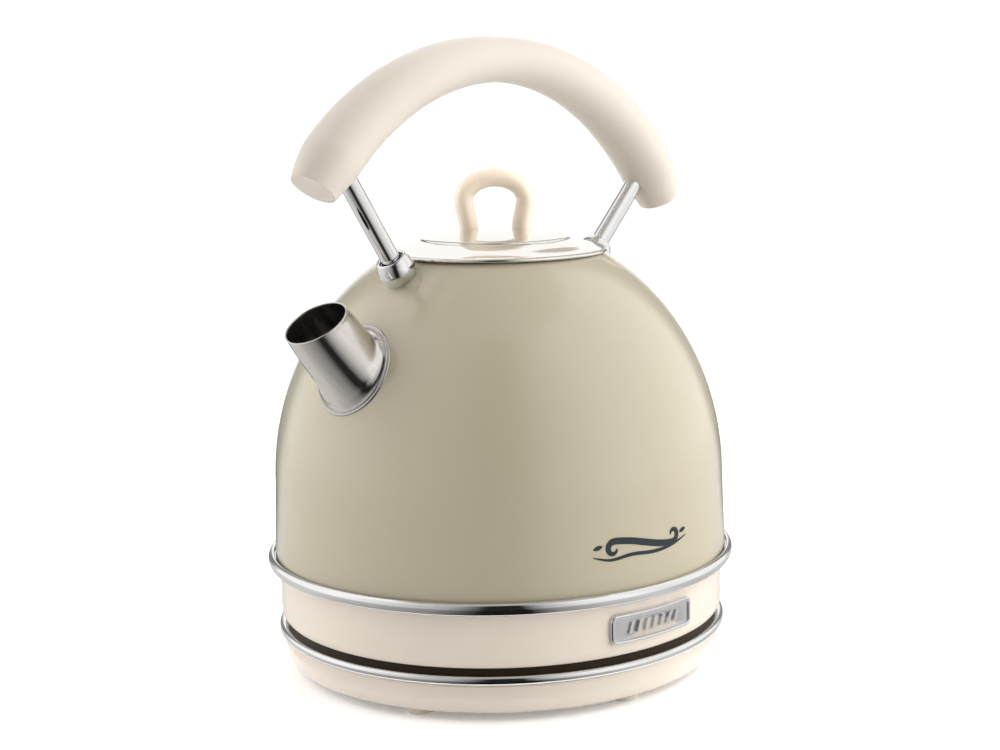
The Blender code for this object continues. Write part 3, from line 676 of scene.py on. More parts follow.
def block(name, size, centre, material, tilt=0.0, edge=0.0, parts=3):
    """A block of size millimetres about the kettle's axis, leaned about Y, with rounded edges."""
    bm = bmesh.new()
    bmesh.ops.create_cube(bm, size=1.0)
    lean = Matrix.Rotation(math.radians(tilt), 4, "Y")
    place = place_at(*centre) @ lean
    bmesh.ops.scale(bm, vec=size, verts=bm.verts)
    if edge:
        bmesh.ops.bevel(bm, geom=bm.edges[:], offset=edge, segments=parts, affect="EDGES", profile=0.5)
    bmesh.ops.transform(bm, matrix=place, verts=bm.verts)
    points = [v.co.copy() for v in bm.verts]
    faces = [tuple(v.index for v in f.verts) for f in bm.faces]
    bm.free()
    return piece_of(name, points, faces, material)


cut_by(skirt, block("window", (12, 17, 13), (89, 0, WORKS_Z), cream))
LAMP_PLACE = place_at(*(lamp_out * BAND_R + UP * WORKS_Z), lamp_out)
bored(skirt, 2.6, LAMP_PLACE, -5, 5)
fitted(skirt, "kettle", "cream_plastic", "skirt")
lip = turned("body_chrome_ring", [(86.0, 42.2)] + flowing(
    [(92.0, 42.2), (93.6, 42.45), (94.55, 43.3), (94.95, 44.6), (94.85, 45.8), (94.3, 46.8), (93.5, 47.3),
     (92.85, 47.25), (92.6, 46.8), (92.5, 46.0)], 5) + [(92.5, 44.2), (86.0, 44.2)], chrome, steps=192)
fitted(lip, "kettle", "chrome", "body_trim_ring")

# %% [markdown]
# ## The dome
# The dome is one pressed steel shell: a nearly upright foot that flares a hair, then a quarter of an
# ellipse up to the seat of the lid. Its outline follows a rule, so it is computed, not drawn. Sage lacquer
# covers the outside and bare steel the inside, so there are two thin shells, one in the other, drilled for
# the spout and handle studs.

# %% Compute the dome's outline
DOME_R, DOME_MID, DOME_RISE, DOME_FLARE, DOME_FOOT = 91.0, 76.4, 102.2, 0.034, 44.6
SEAT_R, SEAT_Z, MOUTH_R = 43.6, 166.0, 40.0


def dome_radius(z):
    if z <= DOME_MID:
        return DOME_R + (DOME_MID - z) * DOME_FLARE
    return DOME_R * math.sqrt(max(0.0, 1 - ((z - DOME_MID) / DOME_RISE) ** 2))


def dome_lean(z):
    """Angle of the outward normal above level."""
    u = max(0.0, (z - DOME_MID) / DOME_RISE)
    return math.atan(DOME_R / DOME_RISE * u / math.sqrt(1 - u * u))


def dome_line(offset, parts=44):
    top = DOME_RISE * math.sqrt(1 - (SEAT_R / DOME_R) ** 2)
    heights = [DOME_FOOT + (DOME_MID - DOME_FOOT) * k / 8 for k in range(8)]
    heights += [DOME_MID + top * math.sin(math.pi / 2 * k / parts) for k in range(parts + 1)]
    return [(dome_radius(z) + offset * math.cos(dome_lean(z)), z + offset * math.sin(dome_lean(z)))
            for z in heights]


print("dome outline: radius", DOME_R, "at", DOME_MID, "narrowing to", round(dome_radius(SEAT_Z), 2),
      "at the seat")

# %% Press and drill the dome
outside, middle, inside = dome_line(0), dome_line(-0.55), dome_line(-1.0)
shell = turned("dome_shell", outside + [(SEAT_R - 0.5, SEAT_Z + 0.15), (SEAT_R - 1.0, SEAT_Z - 0.1),
                                        (SEAT_R - 1.4, SEAT_Z - 0.5)] + middle[-2::-1], sage, steps=192)
lining = turned("dome_lining", middle[:-1] + [(SEAT_R - 1.0, SEAT_Z - 0.3), (MOUTH_R + 0.6, SEAT_Z - 0.2)]
                + flowing([(MOUTH_R + 0.1, SEAT_Z - 0.4), (MOUTH_R - 0.1, SEAT_Z - 0.9),
                           (MOUTH_R + 0.4, SEAT_Z - 1.3)], 3)
                + [(SEAT_R - 1.6, SEAT_Z - 1.3)] + inside[-2::-1], FINISH["brushed_steel"], steps=160)
SPOUT_Z = 128.7
spout_lean = dome_lean(SPOUT_Z)
NORMAL = Vector((-math.cos(spout_lean), 0, math.sin(spout_lean)))
TANGENT, SIDE = Vector((math.sin(spout_lean), 0, math.cos(spout_lean))), Vector((0, 1, 0))
ROOT = Vector((-dome_radius(SPOUT_Z), 0, SPOUT_Z))
STUDS = {"front": (Vector((-53.6, 0, 163.8)), Vector((-80.6, 0, 205.2))),
         "rear": (Vector((58.4, 0, 161.2)), Vector((93.8, 0, 197.4)))}
for wall in (shell, lining):
    bored(wall, 11.7, place_at(*ROOT, NORMAL), -8, 8)
    for start, end in STUDS.values():
        bored(wall, 2.9, place_at(*start, end - start), -12, 4)
fitted(shell, "kettle", "sage_paint", "body_shell")
fitted(lining, "kettle", "brushed_steel")

# %% [markdown]
# ## The spout
# The spout is a short drawn tube whose foot flares out to meet the dome and whose mouth is cut level enough
# to pour cleanly. A spun tube would meet the dome with a flat foot, so its rings are lofted instead: the
# lowest ones are dropped on to the dome's own ellipsoid, and the rest turn step by step towards the mouth's
# tilt.

# %% Draw the spout
TIP, MOUTH_TILT = Vector((-93.8, 0, 147.4)), math.radians(58)
RINGWISE = [2 * math.pi * k / 112 for k in range(112)]


def on_dome(point):
    """Where the line through a point along the spout's normal meets the dome."""
    size = Vector((1 / DOME_R, 1 / DOME_R, 1 / DOME_RISE))
    p = (point - UP * DOME_MID) * size
    n = NORMAL * size
    b, c = p.dot(n), p.dot(p) - 1
    return point + NORMAL * ((-b + math.sqrt(b * b - n.dot(n) * c)) / n.dot(n))


def spout_ring(t, r, shift=0.0, hug=0.0):
    """A ring t of the way from dome to mouth; hug 1 lies on the dome, 0 is flat."""
    angle = spout_lean + (MOUTH_TILT - spout_lean) * max(t, 0.0) ** 1.4
    face = Vector((-math.cos(angle), 0, math.sin(angle)))
    up = Vector((math.sin(angle), 0, math.cos(angle)))
    ring = []
    for a in RINGWISE:
        flat = ROOT.lerp(TIP, t) + SIDE * (r * math.cos(a)) + up * (r * math.sin(a)) + face * shift
        if hug:
            base_point = ROOT + SIDE * (r * math.cos(a)) + TANGENT * (r * math.sin(a))
            flat = flat.lerp(on_dome(base_point) + NORMAL * shift, hug)
        ring.append(place_at() @ flat)
    return ring


stations = flowing([(0, 16.9, 0.35, 1), (0, 16.5, 0.6, 1), (0, 15.9, 1.0, 0.97), (0.0, 15.3, 1.7, 0.85),
                    (0.05, 14.8, 2.0, 0.55), (0.14, 14.35, 1.2, 0.25), (0.25, 14.0, 0.4, 0.05),
                    (0.4, 13.65, 0, 0), (0.6, 13.25, 0, 0), (0.8, 12.85, 0, 0), (0.95, 12.55, 0, 0),
                    (0.985, 12.55, 0.1, 0)], 4)
stations += [(1, 12.58, 0.15, 0), (1, 12.55, 0.4, 0), (1, 12.38, 0.58, 0), (1, 12.12, 0.6, 0),
             (1, 11.92, 0.45, 0), (1, 11.85, 0.2, 0)]
stations += flowing([(0.97, 11.8, 0, 0), (0.8, 11.75, 0, 0), (0.5, 11.7, 0, 0), (0.2, 11.65, 0, 0),
                     (0, 11.6, -2.5, 0)])
stations += [(0, 13.5, -0.2, 1), (0, 16.7, -0.2, 1)]
spout = lofted("spout", [spout_ring(*s) for s in stations], spout_steel, closed=True)
fitted(spout, "kettle", "brushed_steel", "spout_tube")
collar_line = flowing([(16.7, 0.2), (16.85, 0.75), (17.1, 1.0), (17.35, 0.85), (17.5, 0.55), (17.75, 0.65),
                       (18.1, 0.6), (18.35, 0.3), (18.4, -0.25)], 4) + [(16.7, -0.25)]
collar = lofted("spout_collar", [spout_ring(0, r, h, 1.0) for r, h in collar_line], FINISH["brushed_steel"],
                closed=True)
fitted(collar, "kettle", "brushed_steel", "spout_flange")

# %% [markdown]
# ## The carrying handle
# A thick moulded grip arches over the lid on two chrome posts, each screwed through a round ferrule on the
# dome. The grip follows a rule: its centre line is an arc of an ellipse, and it swells towards ends that
# are cut square and softly rounded. So it is grown by a node tree from that rule, with every measure as a
# named input.

# %% Plant the posts
FERRULE = flowing([(4.6, 2.6), (4.5, 4.0), (4.75, 5.1), (5.25, 5.6), (5.8, 5.35), (6.2, 4.6), (6.75, 3.3),
                   (7.15, 1.6), (7.25, -0.2), (7.0, -2.2), (6.5, -4.2),
                   (5.9, -6.0)], 5) + [(4.3, -6.0), (4.3, 2.4)]
for label, (start, end) in STUDS.items():
    along = end - start
    post = turned(f"{label}_post_polished",
                  rounded([(0, -5), (3.75, -5), (3.75, along.length), (0, along.length)], 0.4),
                  chrome, place_at(*start, along), 72)
    fitted(post, "kettle", "chrome", f"{label}_post")
    cup = turned(f"{label}_cup", FERRULE, chrome, place_at(*start, along), 96)
    fitted(cup, "kettle", "chrome", f"{label}_ferrule")

# %% Grow the grip
grip_tree, size = new_tree("arched grip", Centre_X=0.0, Centre_Z=0.1294, Half_width=0.1155,
                           Half_height=0.1132, First_angle=0.63, Last_angle=2.66, Middle_radius=0.0089,
                           End_radius=0.0116, End_rounding=0.0026, Stations=220, Sides=64,
                           Finish=FINISH["matte_cream_plastic"])
bar = add(grip_tree, "GeometryNodeResampleCurve",
          Curve=add(grip_tree, "GeometryNodeCurvePrimitiveLine", End=(1, 0, 0)), Count=size["Stations"])
part = add(grip_tree, "GeometryNodeSplineParameter")
# stations crowd towards both ends, where the rounding needs them
eased = sums(grip_tree, "MULTIPLY_ADD",
             sums(grip_tree, "COSINE", sums(grip_tree, "MULTIPLY", part, math.pi)), -0.5, 0.5)
angle = sums(grip_tree, "MULTIPLY_ADD", eased,
             sums(grip_tree, "SUBTRACT", size["Last angle"], size["First angle"]),
             size["First angle"])
arch_x = sums(grip_tree, "SUBTRACT", size["Centre X"],
              sums(grip_tree, "MULTIPLY", sums(grip_tree, "COSINE", angle), size["Half width"]))
arch_z = sums(grip_tree, "MULTIPLY_ADD", sums(grip_tree, "SINE", angle), size["Half height"],
              size["Centre Z"])
arch = add(grip_tree, "GeometryNodeSetPosition", Geometry=bar,
           Position=add(grip_tree, "ShaderNodeCombineXYZ", X=arch_x, Z=arch_z))
from_top = sums(grip_tree, "ABSOLUTE", sums(grip_tree, "SUBTRACT", angle, math.pi / 2))
widest = sums(grip_tree, "SUBTRACT", math.pi / 2, size["First angle"])
swell = sums(grip_tree, "POWER",
             sums(grip_tree, "MINIMUM", sums(grip_tree, "DIVIDE", from_top, widest), 1.0), 1.3)
thick = sums(grip_tree, "MULTIPLY_ADD", swell,
             sums(grip_tree, "SUBTRACT", size["End radius"], size["Middle radius"]), size["Middle radius"])
from_end = sums(grip_tree, "MULTIPLY", sums(grip_tree, "MINIMUM", eased,
                                            sums(grip_tree, "SUBTRACT", 1.0, eased)),
                sums(grip_tree, "MULTIPLY", size["Half width"],
                     sums(grip_tree, "SUBTRACT", size["Last angle"], size["First angle"])))
inward = sums(grip_tree, "SUBTRACT", 1.0,
              sums(grip_tree, "MINIMUM", sums(grip_tree, "DIVIDE", from_end, size["End rounding"]), 1.0))
corner = sums(grip_tree, "SQRT",
              sums(grip_tree, "SUBTRACT", 1.0, sums(grip_tree, "MULTIPLY", inward, inward)))
softened = sums(grip_tree, "SUBTRACT", thick,
                sums(grip_tree, "MULTIPLY", size["End rounding"], sums(grip_tree, "SUBTRACT", 1.0, corner)))
hoop = add(grip_tree, "GeometryNodeCurvePrimitiveCircle", Resolution=size["Sides"], Radius=1.0)
tube = add(grip_tree, "GeometryNodeCurveToMesh", Curve=arch, Profile_Curve=hoop, Scale=softened,
           Fill_Caps=True)
end_tree(grip_tree, tube, size["Finish"])
grip = grown("arched_grip", grip_tree, Centre_X=AXIS_X + 0.0001, Centre_Z=0.1294, Half_width=0.1155,
             Half_height=0.1132, First_angle=math.radians(36.4), Last_angle=math.radians(180 - 27.7),
             Middle_radius=0.0089, End_radius=0.0116, End_rounding=0.0026, Stations=220, Sides=64,
             Finish=FINISH["matte_cream_plastic"])
fitted(grip, "kettle", "matte_cream_plastic", "grip")

# %% [markdown]
# ## The lid
# The lid is a spun steel cap: a polished raised disc, a fine step, then a skirt that sweeps out to a rolled
# rim. A cream collar and a silicone seal hold it in the mouth. Its loop is bent from one thick bar like the
# letter omega without feet, made by sweeping an oval along a line that is smooth everywhere.

# %% Spin the cap
cap_top = flowing([(0, 176.4), (5, 176.32), (12, 175.85), (19, 174.95), (25, 173.85), (28.6, 173.0),
                   (29.7, 172.7)], 5)
cap_step = flowing([(30.1, 172.45), (30.35, 172.05), (30.7, 171.75), (32.0, 171.4), (36.0, 170.25),
                    (40.0, 168.95), (42.6, 168.25), (44.2, 167.95), (45.0, 167.55), (45.2, 167.05),
                    (44.9, 166.55), (44.2, 166.35)], 5)
cap = turned("lid_cap_spun", cap_top + cap_step + [(41.8, 166.35), (41.5, 167.3), (36.8, 168.8),
                                                   (29.9, 170.6), (20, 173.2),
                                                   (0, 175.0)], lid_steel, steps=192, sharp=60)
fitted(cap, "lid", "brushed_steel", "lid_cap")
for node, slot, outline in (
        ("lid_collar", "cream_plastic", [(34.6, 157.4), (37.3, 157.4), (37.3, 160.2), (39.3, 160.2),
                                         (39.3, 167.2), (36.6, 168.2), (36.6, 160.2), (34.6, 160.2)]),
        ("lid_seal", "grey_silicone", [(37.6, 157.8), (39.7, 157.8), (39.9, 158.8), (39.7, 159.9),
                                       (37.6, 159.9)]),
        ("lid_liner", "brushed_steel", [(0, 161.0), (36.2, 161.0), (36.2, 162.0), (0, 162.0)])):
    fitted(turned("smooth_" + node, rounded(outline, 0.4), FINISH[slot], steps=128), "lid", slot, node)

# %% Sweep the loop
LOOP_TURN = math.radians(-40)
ACROSS = Vector((math.cos(LOOP_TURN), math.sin(LOOP_TURN), 0))
FACING = Vector((-math.sin(LOOP_TURN), math.cos(LOOP_TURN), 0))


def swept(name, line, side, half_side, half_up, material, sides=48):
    """Sweeps an oval along a line that lies in one upright plane; side is across that plane."""
    rings = []
    for k, here in enumerate(line):
        run = (line[min(k + 1, len(line) - 1)] - line[max(k - 1, 0)]).normalized()
        up = side.cross(run)
        rings.append([place_at() @ (here + side * (half_side * math.cos(a)) + up * (half_up * math.sin(a)))
                      for a in (2 * math.pi * s / sides for s in range(sides))])
    return lofted(name, rings, material)


half = [(-10.6, 174.2), (-10.6, 176.4), (-11.0, 179.5), (-11.9, 183.4)]
half += [(-12.4 * math.cos(a), 187.2 + 9.0 * math.sin(a)) for a in (math.pi / 2 * k / 5 for k in range(6))]
loop_line = [ACROSS * x + UP * z for x, z in flowing(half + [(-x, z) for x, z in half[-2::-1]], 6)]
loop = swept("lid_loop", loop_line, FACING, 3.9, 3.7, FINISH["warm_cream_plastic"])
fitted(loop, "lid", "warm_cream_plastic", "lid_knob")

# %% [markdown]
# ## The badge
# A small chrome frame with a stippled field sits on the band. Its relief is a plain row of leaning bars
# that spell nothing. Frame and field follow the band's curve, so every point is given along the band, up it
# and out from it. The stipple is grown: many tiny studs, scattered by a fixed seed and each with only a few
# faces.

# %% Bend the badge round the band
BADGE_Z, BADGE_W, BADGE_H, BADGE_TURN = 32.2, 41.0, 11.4, math.radians(-96)


def round_box(w, h, r, sides=16):
    """Outline of a rounded oblong, with points along its long sides so that it can be bent."""
    points = []
    for cx, cz, start in ((1, 1, 0), (-1, 1, 90), (-1, -1, 180), (1, -1, 270)):
        points += [(cx * (w / 2 - r) + r * math.cos(math.radians(start + 15 * k)),
                    cz * (h / 2 - r) + r * math.sin(math.radians(start + 15 * k))) for k in range(7)]
        if start in (0, 180):
            x = w / 2 - r
            points += [((1 if start == 0 else -1) * x * (1 - 2 * k / sides), cz * h / 2)
                       for k in range(1, sides)]
    return points


def round_band(u, z, out):
    a = BADGE_TURN + u / BAND_R
    r = BAND_R + out
    return place_at() @ Vector((r * math.cos(a), r * math.sin(a), BADGE_Z + z))


profile = [(0.0, 0.1), (0.0, 1.1), (0.12, 1.45), (0.4, 1.72), (0.75, 1.78), (1.05, 1.6), (1.25, 1.25),
           (1.3, 0.9), (1.3, 0.1)]
badge_frame = lofted("badge_rim", [[round_band(u, z, out) for u, z in
                                    round_box(BADGE_W - 2 * i, BADGE_H - 2 * i, 2.6 - 0.8 * i)]
                                   for i, out in profile], chrome, closed=True)
fitted(badge_frame, "kettle", "chrome", "badge_frame")
field_lines = [[round_band(u, z, out) for u, z in round_box(BADGE_W - 2.4, BADGE_H - 2.4, 1.6)]
               for out in (0.1, 0.75)]
field = lofted("badge_field", field_lines, FINISH["badge_silver"])
fitted(field, "kettle", "badge_silver", "badge_plate")

# %% Grow the badge's stipple and bars
relief_tree, size = new_tree("badge relief", Width=0.036, Height=0.0066, Spacing=0.0005, Stud_size=0.00017,
                             Seed=4, Bars=7, Bar_pitch=0.0036, Bar_width=0.0013, Bar_height=0.0042,
                             Bar_rise=0.0008, Bar_lean=0.3, Band_radius=0.0903, Field_out=0.00075,
                             Level=0.0322, Centre_X=0.0, Turn=-1.68, Stud_finish=FINISH["badge_silver"],
                             Bar_finish=chrome)
sheet = add(relief_tree, "GeometryNodeMeshGrid", Size_X=size["Width"], Size_Y=size["Height"], Vertices_X=36,
            Vertices_Y=8)
scatter = add(relief_tree, "GeometryNodeDistributePointsOnFaces", setup={"distribute_method": "POISSON"},
              Mesh=sheet, Distance_Min=size["Spacing"], Density_Max=9000000.0,
              Seed=size["Seed"])
stud = add(relief_tree, "GeometryNodeMeshIcoSphere", Radius=size["Stud size"], Subdivisions=1)
studs = add(relief_tree, "GeometryNodeSetMaterial", Material=size["Stud finish"],
            Geometry=add(relief_tree, "GeometryNodeRealizeInstances",
                         Geometry=add(relief_tree, "GeometryNodeInstanceOnPoints", Points=scatter,
                                      Instance=stud)))
count_less = sums(relief_tree, "MULTIPLY", sums(relief_tree, "SUBTRACT", size["Bars"], 1.0), -0.5)
row = add(relief_tree, "GeometryNodeMeshLine", Count=size["Bars"],
          Start_Location=add(relief_tree, "ShaderNodeCombineXYZ",
                             X=sums(relief_tree, "MULTIPLY", count_less, size["Bar pitch"])),
          Offset=add(relief_tree, "ShaderNodeCombineXYZ", X=size["Bar pitch"]))
bar_shape = add(relief_tree, "GeometryNodeMeshCube",
                Size=add(relief_tree, "ShaderNodeCombineXYZ", X=size["Bar width"], Y=size["Bar height"],
                         Z=size["Bar rise"]), Vertices_X=2, Vertices_Y=4, Vertices_Z=2)
bars = add(relief_tree, "GeometryNodeRealizeInstances",
           Geometry=add(relief_tree, "GeometryNodeInstanceOnPoints", Points=row, Instance=bar_shape))
place_xyz = add(relief_tree, "GeometryNodeInputPosition")


def split(tree, socket, axis):
    return add(tree, "ShaderNodeSeparateXYZ", out=axis, Vector=socket)


leaned = add(relief_tree, "ShaderNodeCombineXYZ",
             X=sums(relief_tree, "MULTIPLY_ADD", split(relief_tree, place_xyz, 1), size["Bar lean"],
                    split(relief_tree, place_xyz, 0)),
             Y=split(relief_tree, place_xyz, 1), Z=split(relief_tree, place_xyz, 2))
leaning = add(relief_tree, "GeometryNodeSetMaterial", Material=size["Bar finish"],
              Geometry=add(relief_tree, "GeometryNodeSetPosition", Geometry=bars, Position=leaned))
joined = relief_tree.nodes.new("GeometryNodeJoinGeometry")
for part_of in (studs, leaning):
    relief_tree.links.new(part_of, joined.inputs[0])
# wrap the flat layout round the band: along it, up it, out from it
flat = add(relief_tree, "GeometryNodeInputPosition")
around = sums(relief_tree, "ADD", sums(relief_tree, "DIVIDE", split(relief_tree, flat, 0),
                                       size["Band radius"]),
              size["Turn"])
reach = sums(relief_tree, "ADD", split(relief_tree, flat, 2),
             sums(relief_tree, "ADD", size["Band radius"], size["Field out"]))
wrapped = add(relief_tree, "ShaderNodeCombineXYZ",
              X=sums(relief_tree, "MULTIPLY_ADD", sums(relief_tree, "COSINE", around), reach,
                     size["Centre X"]),
              Y=sums(relief_tree, "MULTIPLY", sums(relief_tree, "SINE", around), reach),
              Z=sums(relief_tree, "ADD", split(relief_tree, flat, 1), size["Level"]))
bent = add(relief_tree, "GeometryNodeSetPosition", Geometry=joined.outputs[0], Position=wrapped)
relief_tree.links.new(bent, relief_tree.nodes.new("NodeGroupOutput").inputs[0])
marks = grown("badge_marks", relief_tree, Width=0.0362, Height=0.0068, Spacing=0.00052, Stud_size=0.00016,
              Seed=4, Bars=7, Bar_pitch=0.0038, Bar_width=0.0014, Bar_height=0.0044, Bar_rise=0.0011,
              Bar_lean=0.3, Band_radius=BAND_R * MM, Field_out=0.00075, Level=BADGE_Z * MM, Centre_X=AXIS_X,
              Turn=BADGE_TURN, Stud_finish=FINISH["badge_silver"],
              Bar_finish=chrome)
fitted(marks, "kettle", "badge_silver")

# %% [markdown]
# ## The printed flourish
# Above the ring, next to the badge, a small slate ornament is printed on the lacquer: two scrolls that
# share one stroke. A print is a thin film, so each stroke is a ribbon a tenth of a millimetre thick that
# lies on the dome and swells and thins like a pen stroke. It is laid out flat first and then carried on to
# the dome's outline.

# %% Print the ornament
PRINT_Z, PRINT_TURN, PRINT_SIZE = 64.0, math.radians(-99), 1.08


def dome_point(u, v, out):
    """A point u along and v up from the ornament's middle, out from the lacquer."""
    u, v = u * PRINT_SIZE, v * PRINT_SIZE
    z = PRINT_Z + v
    r = dome_radius(z)
    a = PRINT_TURN + u / r
    return place_at() @ Vector(((r + out) * math.cos(a), (r + out) * math.sin(a), z))


def pen_stroke(name, line, widest, tip=0.12):
    rings = []
    for k, (u, v) in enumerate(line):
        du = line[min(k + 1, len(line) - 1)][0] - line[max(k - 1, 0)][0]
        dv = line[min(k + 1, len(line) - 1)][1] - line[max(k - 1, 0)][1]
        run = math.hypot(du, dv)
        s = k / (len(line) - 1)
        half = tip + (widest / 2 - tip) * math.sin(math.pi * s) ** 0.8
        nu, nv = -dv / run * half, du / run * half
        rings.append([dome_point(u + nu, v + nv, 0.02), dome_point(u + nu, v + nv, 0.11),
                      dome_point(u - nu, v - nv, 0.11), dome_point(u - nu, v - nv, 0.02)])
    return lofted(name, rings, ink)


def scroll(turns, start_r, side):
    """A spiral that opens into half of the long stroke."""
    coil = []
    for k in range(10):
        a = math.pi * (0.5 + turns * (1 - k / 9))
        r = start_r * (0.45 + 0.55 * k / 9)
        coil.append((side * (-13.5 + r * math.cos(a)), side * (-0.4 + r * math.sin(a))))
    return coil


long_stroke = scroll(1.5, 2.6, 1) + [(-7.0, 1.6), (0, 0)]
long_stroke += [(-u, -v) for u, v in reversed(long_stroke[:-1])]
under_stroke = [(-21.5, -2.6), (-15, -4.1), (-6, -3.3), (4, -3.9), (13, -3.2), (21, -1.2)]
print_parts = [pen_stroke("scroll", flowing(long_stroke, 5), 2.4, 0.25),
               pen_stroke("underline", flowing(under_stroke, 10), 1.3, 0.15)]
for index, (u, v) in enumerate(((-19.6, 0.6), (19.0, 0.9))):
    drop = [(u - 1.8, v - 0.5), (u, v), (u + 1.8, v + 0.5)]
    print_parts.append(pen_stroke(f"leaf{index}", flowing(drop, 8), 1.6, 0.05))


def joined_pieces(name, parts):
    """One plain mesh from several finished pieces of one material."""
    bm = bmesh.new()
    for made in parts:
        bm.from_mesh(made.data)
    mesh = bpy.data.meshes.new(name)
    bm.to_mesh(mesh)
    bm.free()
    mesh.materials.append(parts[0].data.materials[0])
    for made in parts:
        bpy.data.objects.remove(made)
    made = bpy.data.objects.new(name, mesh)
    bpy.context.scene.collection.objects.link(made)
    return settle(made)


fitted(joined_pieces("dome_ornament", print_parts), "kettle", "dark_nylon")

# %% [markdown]
# ## The switch at the back
# A cream lever tips down in a dark bezel to switch on, and an amber lamp shows beside it. Steam that
# reaches the disc below the tube pushes the trip lever, which throws the switch off. The lever gets a few
# raised ribs for the thumb, grown in a row.

# %% Fit the bezel and lamp
def flat_frame(name, profile, w, h, r, x, z, material):
    """A frame that stands upright and faces +X; profile is (inset, out)."""
    rings = [[place_at() @ Vector((x + out, u, z + v))
              for u, v in round_box(w - 2 * i, h - 2 * i, max(0.3, r - i * 0.6))]
             for i, out in profile]
    return lofted(name, rings, material, closed=True)


bezel = flat_frame("switch_surround", [(0, -1.3), (0, 0.7), (0.2, 1.1), (0.6, 1.3), (2.3, 1.3), (2.75, 1.1),
                                       (2.85, 0.7),
                                       (2.85, -1.3)], 21.5, 17.0, 2.6, 91.95, WORKS_Z, FINISH["dark_nylon"])
fitted(bezel, "kettle", "dark_nylon", "switch_bezel")
lens = turned("lamp_lens", [(0, -1.0), (2.2, -1.0)] + flowing([(2.2, 0.9), (2.05, 1.3), (1.5, 1.75),
                                                               (0.8, 1.98)], 4)
              + [(0, 2.02)], amber, LAMP_PLACE, 48)
fitted(lens, "kettle", "amber_lens", "indicator_lamp")

# %% Shape the lever
LEVER_X, LEVER_Z, LEVER_LEAN = 80.5, WORKS_Z, -8.0
PADDLE_MIDDLE = Vector((LEVER_X + 10.5, 0, LEVER_Z + 1.4))
paddle = block("paddle", (22, 13.2, 3.0), PADDLE_MIDDLE, cream, LEVER_LEAN, 1.1, 4)
hub = turned("hub", rounded([(0, -6.6), (3.0, -6.6), (3.0, 6.6), (0, 6.6)], 0.5), cream,
             place_at(LEVER_X, 0, LEVER_Z, (0, 1, 0)), 48)
rib_tree, size = new_tree("thumb ribs", Count=4, Pitch=0.0018, Length=0.0095, Thickness=0.0004, Start_X=0.0,
                          Start_Z=0.0, Lean=0.0,
                          Finish=cream)
step_along = add(rib_tree, "ShaderNodeCombineXYZ",
                 X=sums(rib_tree, "MULTIPLY", size["Pitch"], sums(rib_tree, "COSINE", size["Lean"])),
                 Z=sums(rib_tree, "MULTIPLY", size["Pitch"], sums(rib_tree, "SINE", size["Lean"])))
begin = add(rib_tree, "ShaderNodeCombineXYZ", X=size["Start X"], Z=size["Start Z"])
rib_spots = add(rib_tree, "GeometryNodeMeshLine", Count=size["Count"], Start_Location=begin,
                Offset=step_along)
half_long = sums(rib_tree, "MULTIPLY", size["Length"], 0.5)
rod = add(rib_tree, "GeometryNodeCurvePrimitiveLine",
          Start=add(rib_tree, "ShaderNodeCombineXYZ", Y=sums(rib_tree, "MULTIPLY", half_long, -1.0)),
          End=add(rib_tree, "ShaderNodeCombineXYZ", Y=half_long))
round_rod = add(rib_tree, "GeometryNodeCurveToMesh", Curve=rod, Fill_Caps=True,
                Profile_Curve=add(rib_tree, "GeometryNodeCurvePrimitiveCircle", Resolution=12,
                                  Radius=size["Thickness"]))
end_tree(rib_tree, add(rib_tree, "GeometryNodeInstanceOnPoints", Points=rib_spots, Instance=round_rod),
         size["Finish"])
lean_up = math.radians(-LEVER_LEAN)
rib_start = PADDLE_MIDDLE + Vector((math.cos(lean_up), 0, math.sin(lean_up))) * 4.2
rib_start += Vector((-math.sin(lean_up), 0, math.cos(lean_up))) * 1.45
ribs = grown("ribs", rib_tree, Count=4, Pitch=0.0018, Length=0.0096, Thickness=0.00045,
             Start_X=AXIS_X + rib_start.x * MM, Start_Z=rib_start.z * MM, Lean=lean_up, Finish=cream)
fitted(joined_pieces("switch_paddle", [paddle, hub, ribs]), "switch", "cream_plastic", "switch_lever")

# %% [markdown]
# ## The filter screen
# Behind the spout a dark frame holds a woven steel screen that keeps scale out of the cup. The weave is two
# sets of fine wires that pass over and under each other. Hundreds of wires by hand would be madness; a tree
# lays them in a wavy grid, and each wire has only a few faces.

# %% Weave the screen
weave_tree, size = new_tree("woven screen", Width=0.026, Height=0.032, Pitch=0.0013, Wire=0.00022,
                            Finish=chrome)


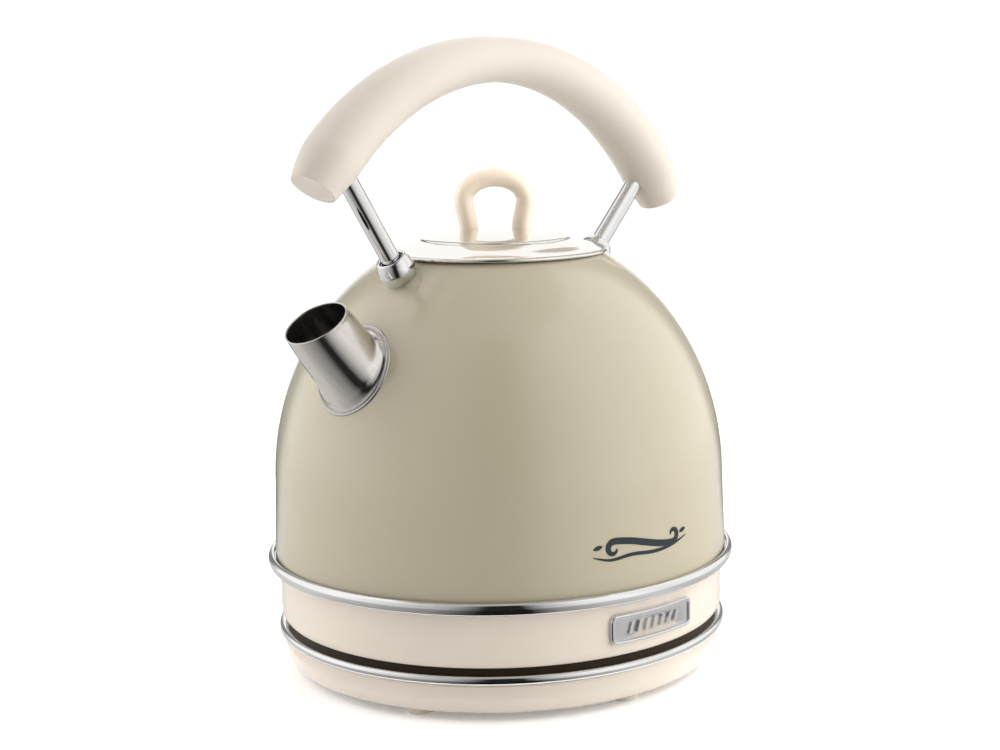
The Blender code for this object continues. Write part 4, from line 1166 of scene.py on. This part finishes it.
def wires(long_side, short_side, swap, phase):
    """One set of wires: a line, waved out of its plane, copied at each pitch across."""
    run = sums(weave_tree, "MULTIPLY", long_side, 0.5)
    axis = "Y" if swap else "X"
    other = "X" if swap else "Y"
    line = add(weave_tree, "GeometryNodeCurvePrimitiveLine",
               Start=add(weave_tree, "ShaderNodeCombineXYZ",
                         **{axis: sums(weave_tree, "MULTIPLY", run, -1.0)}),
               End=add(weave_tree, "ShaderNodeCombineXYZ", **{axis: run}))
    count = sums(weave_tree, "FLOOR", sums(weave_tree, "DIVIDE", short_side, size["Pitch"]))
    knots = sums(weave_tree, "MULTIPLY", sums(weave_tree, "DIVIDE", long_side, size["Pitch"]), 2.0)
    fine = add(weave_tree, "GeometryNodeResampleCurve", Curve=line, Count=knots)
    tube_mesh = add(weave_tree, "GeometryNodeCurveToMesh", Curve=fine,
                    Profile_Curve=add(weave_tree, "GeometryNodeCurvePrimitiveCircle", Resolution=5,
                                      Radius=size["Wire"]))
    back = sums(weave_tree, "MULTIPLY", sums(weave_tree, "MULTIPLY",
                                             sums(weave_tree, "SUBTRACT", count, 1.0), -0.5),
                size["Pitch"])
    spots = add(weave_tree, "GeometryNodeMeshLine", Count=count,
                Start_Location=add(weave_tree, "ShaderNodeCombineXYZ", **{other: back}),
                Offset=add(weave_tree, "ShaderNodeCombineXYZ", **{other: size["Pitch"]}))
    laid_wires = add(weave_tree, "GeometryNodeRealizeInstances",
                     Geometry=add(weave_tree, "GeometryNodeInstanceOnPoints", Points=spots,
                                  Instance=tube_mesh))
    here = add(weave_tree, "GeometryNodeInputPosition")
    beat = sums(weave_tree, "DIVIDE", math.pi, size["Pitch"])
    wave = sums(weave_tree, "MULTIPLY",
                sums(weave_tree, "SINE", sums(weave_tree, "MULTIPLY", split(weave_tree, here, 0), beat)),
                sums(weave_tree, "SINE", sums(weave_tree, "MULTIPLY", split(weave_tree, here, 1), beat)))
    lift = add(weave_tree, "ShaderNodeCombineXYZ",
               Z=sums(weave_tree, "MULTIPLY", wave, sums(weave_tree, "MULTIPLY", size["Wire"], phase)))
    return add(weave_tree, "GeometryNodeSetPosition", Geometry=laid_wires, Offset=lift)


cloth = weave_tree.nodes.new("GeometryNodeJoinGeometry")
for strands in (wires(size["Width"], size["Height"], False, 1.0),
                wires(size["Height"], size["Width"], True, -1.0)):
    weave_tree.links.new(strands, cloth.inputs[0])
end_tree(weave_tree, cloth.outputs[0], size["Finish"])
screen = grown("woven_screen", weave_tree, Width=0.0262, Height=0.0322, Pitch=0.0013, Wire=0.00022,
               Finish=FINISH["brushed_steel"])
behind = ROOT - NORMAL * 9.0
stand_up = Matrix((SIDE, TANGENT, NORMAL)).transposed().to_4x4()
screen.data.transform(Matrix.Translation(place_at() @ behind) @ stand_up)
fitted(screen, "filter", "brushed_steel", "filter_mesh")

# %% [markdown]
# ## Finishes for the plain solids
# The works inside are right as they are: their shapes are hidden by the shells or seen only from below.
# They keep their frame solids and take the finish that the record names for each. Assigning to a slot
# changes the look and leaves the mesh alone.

# %% Dress what stays
slot_of = {row["node"]: row["material_slot"] for row in frame["record"]["subparts"]}
kept = [name for name, solid in frame["nodes"].items() if not solid.hide_render]
for name in kept:
    for place in frame["nodes"][name].material_slots:
        place.material = FINISH[slot_of[name]]
print("plain solids dressed:", len(kept), sorted(kept))
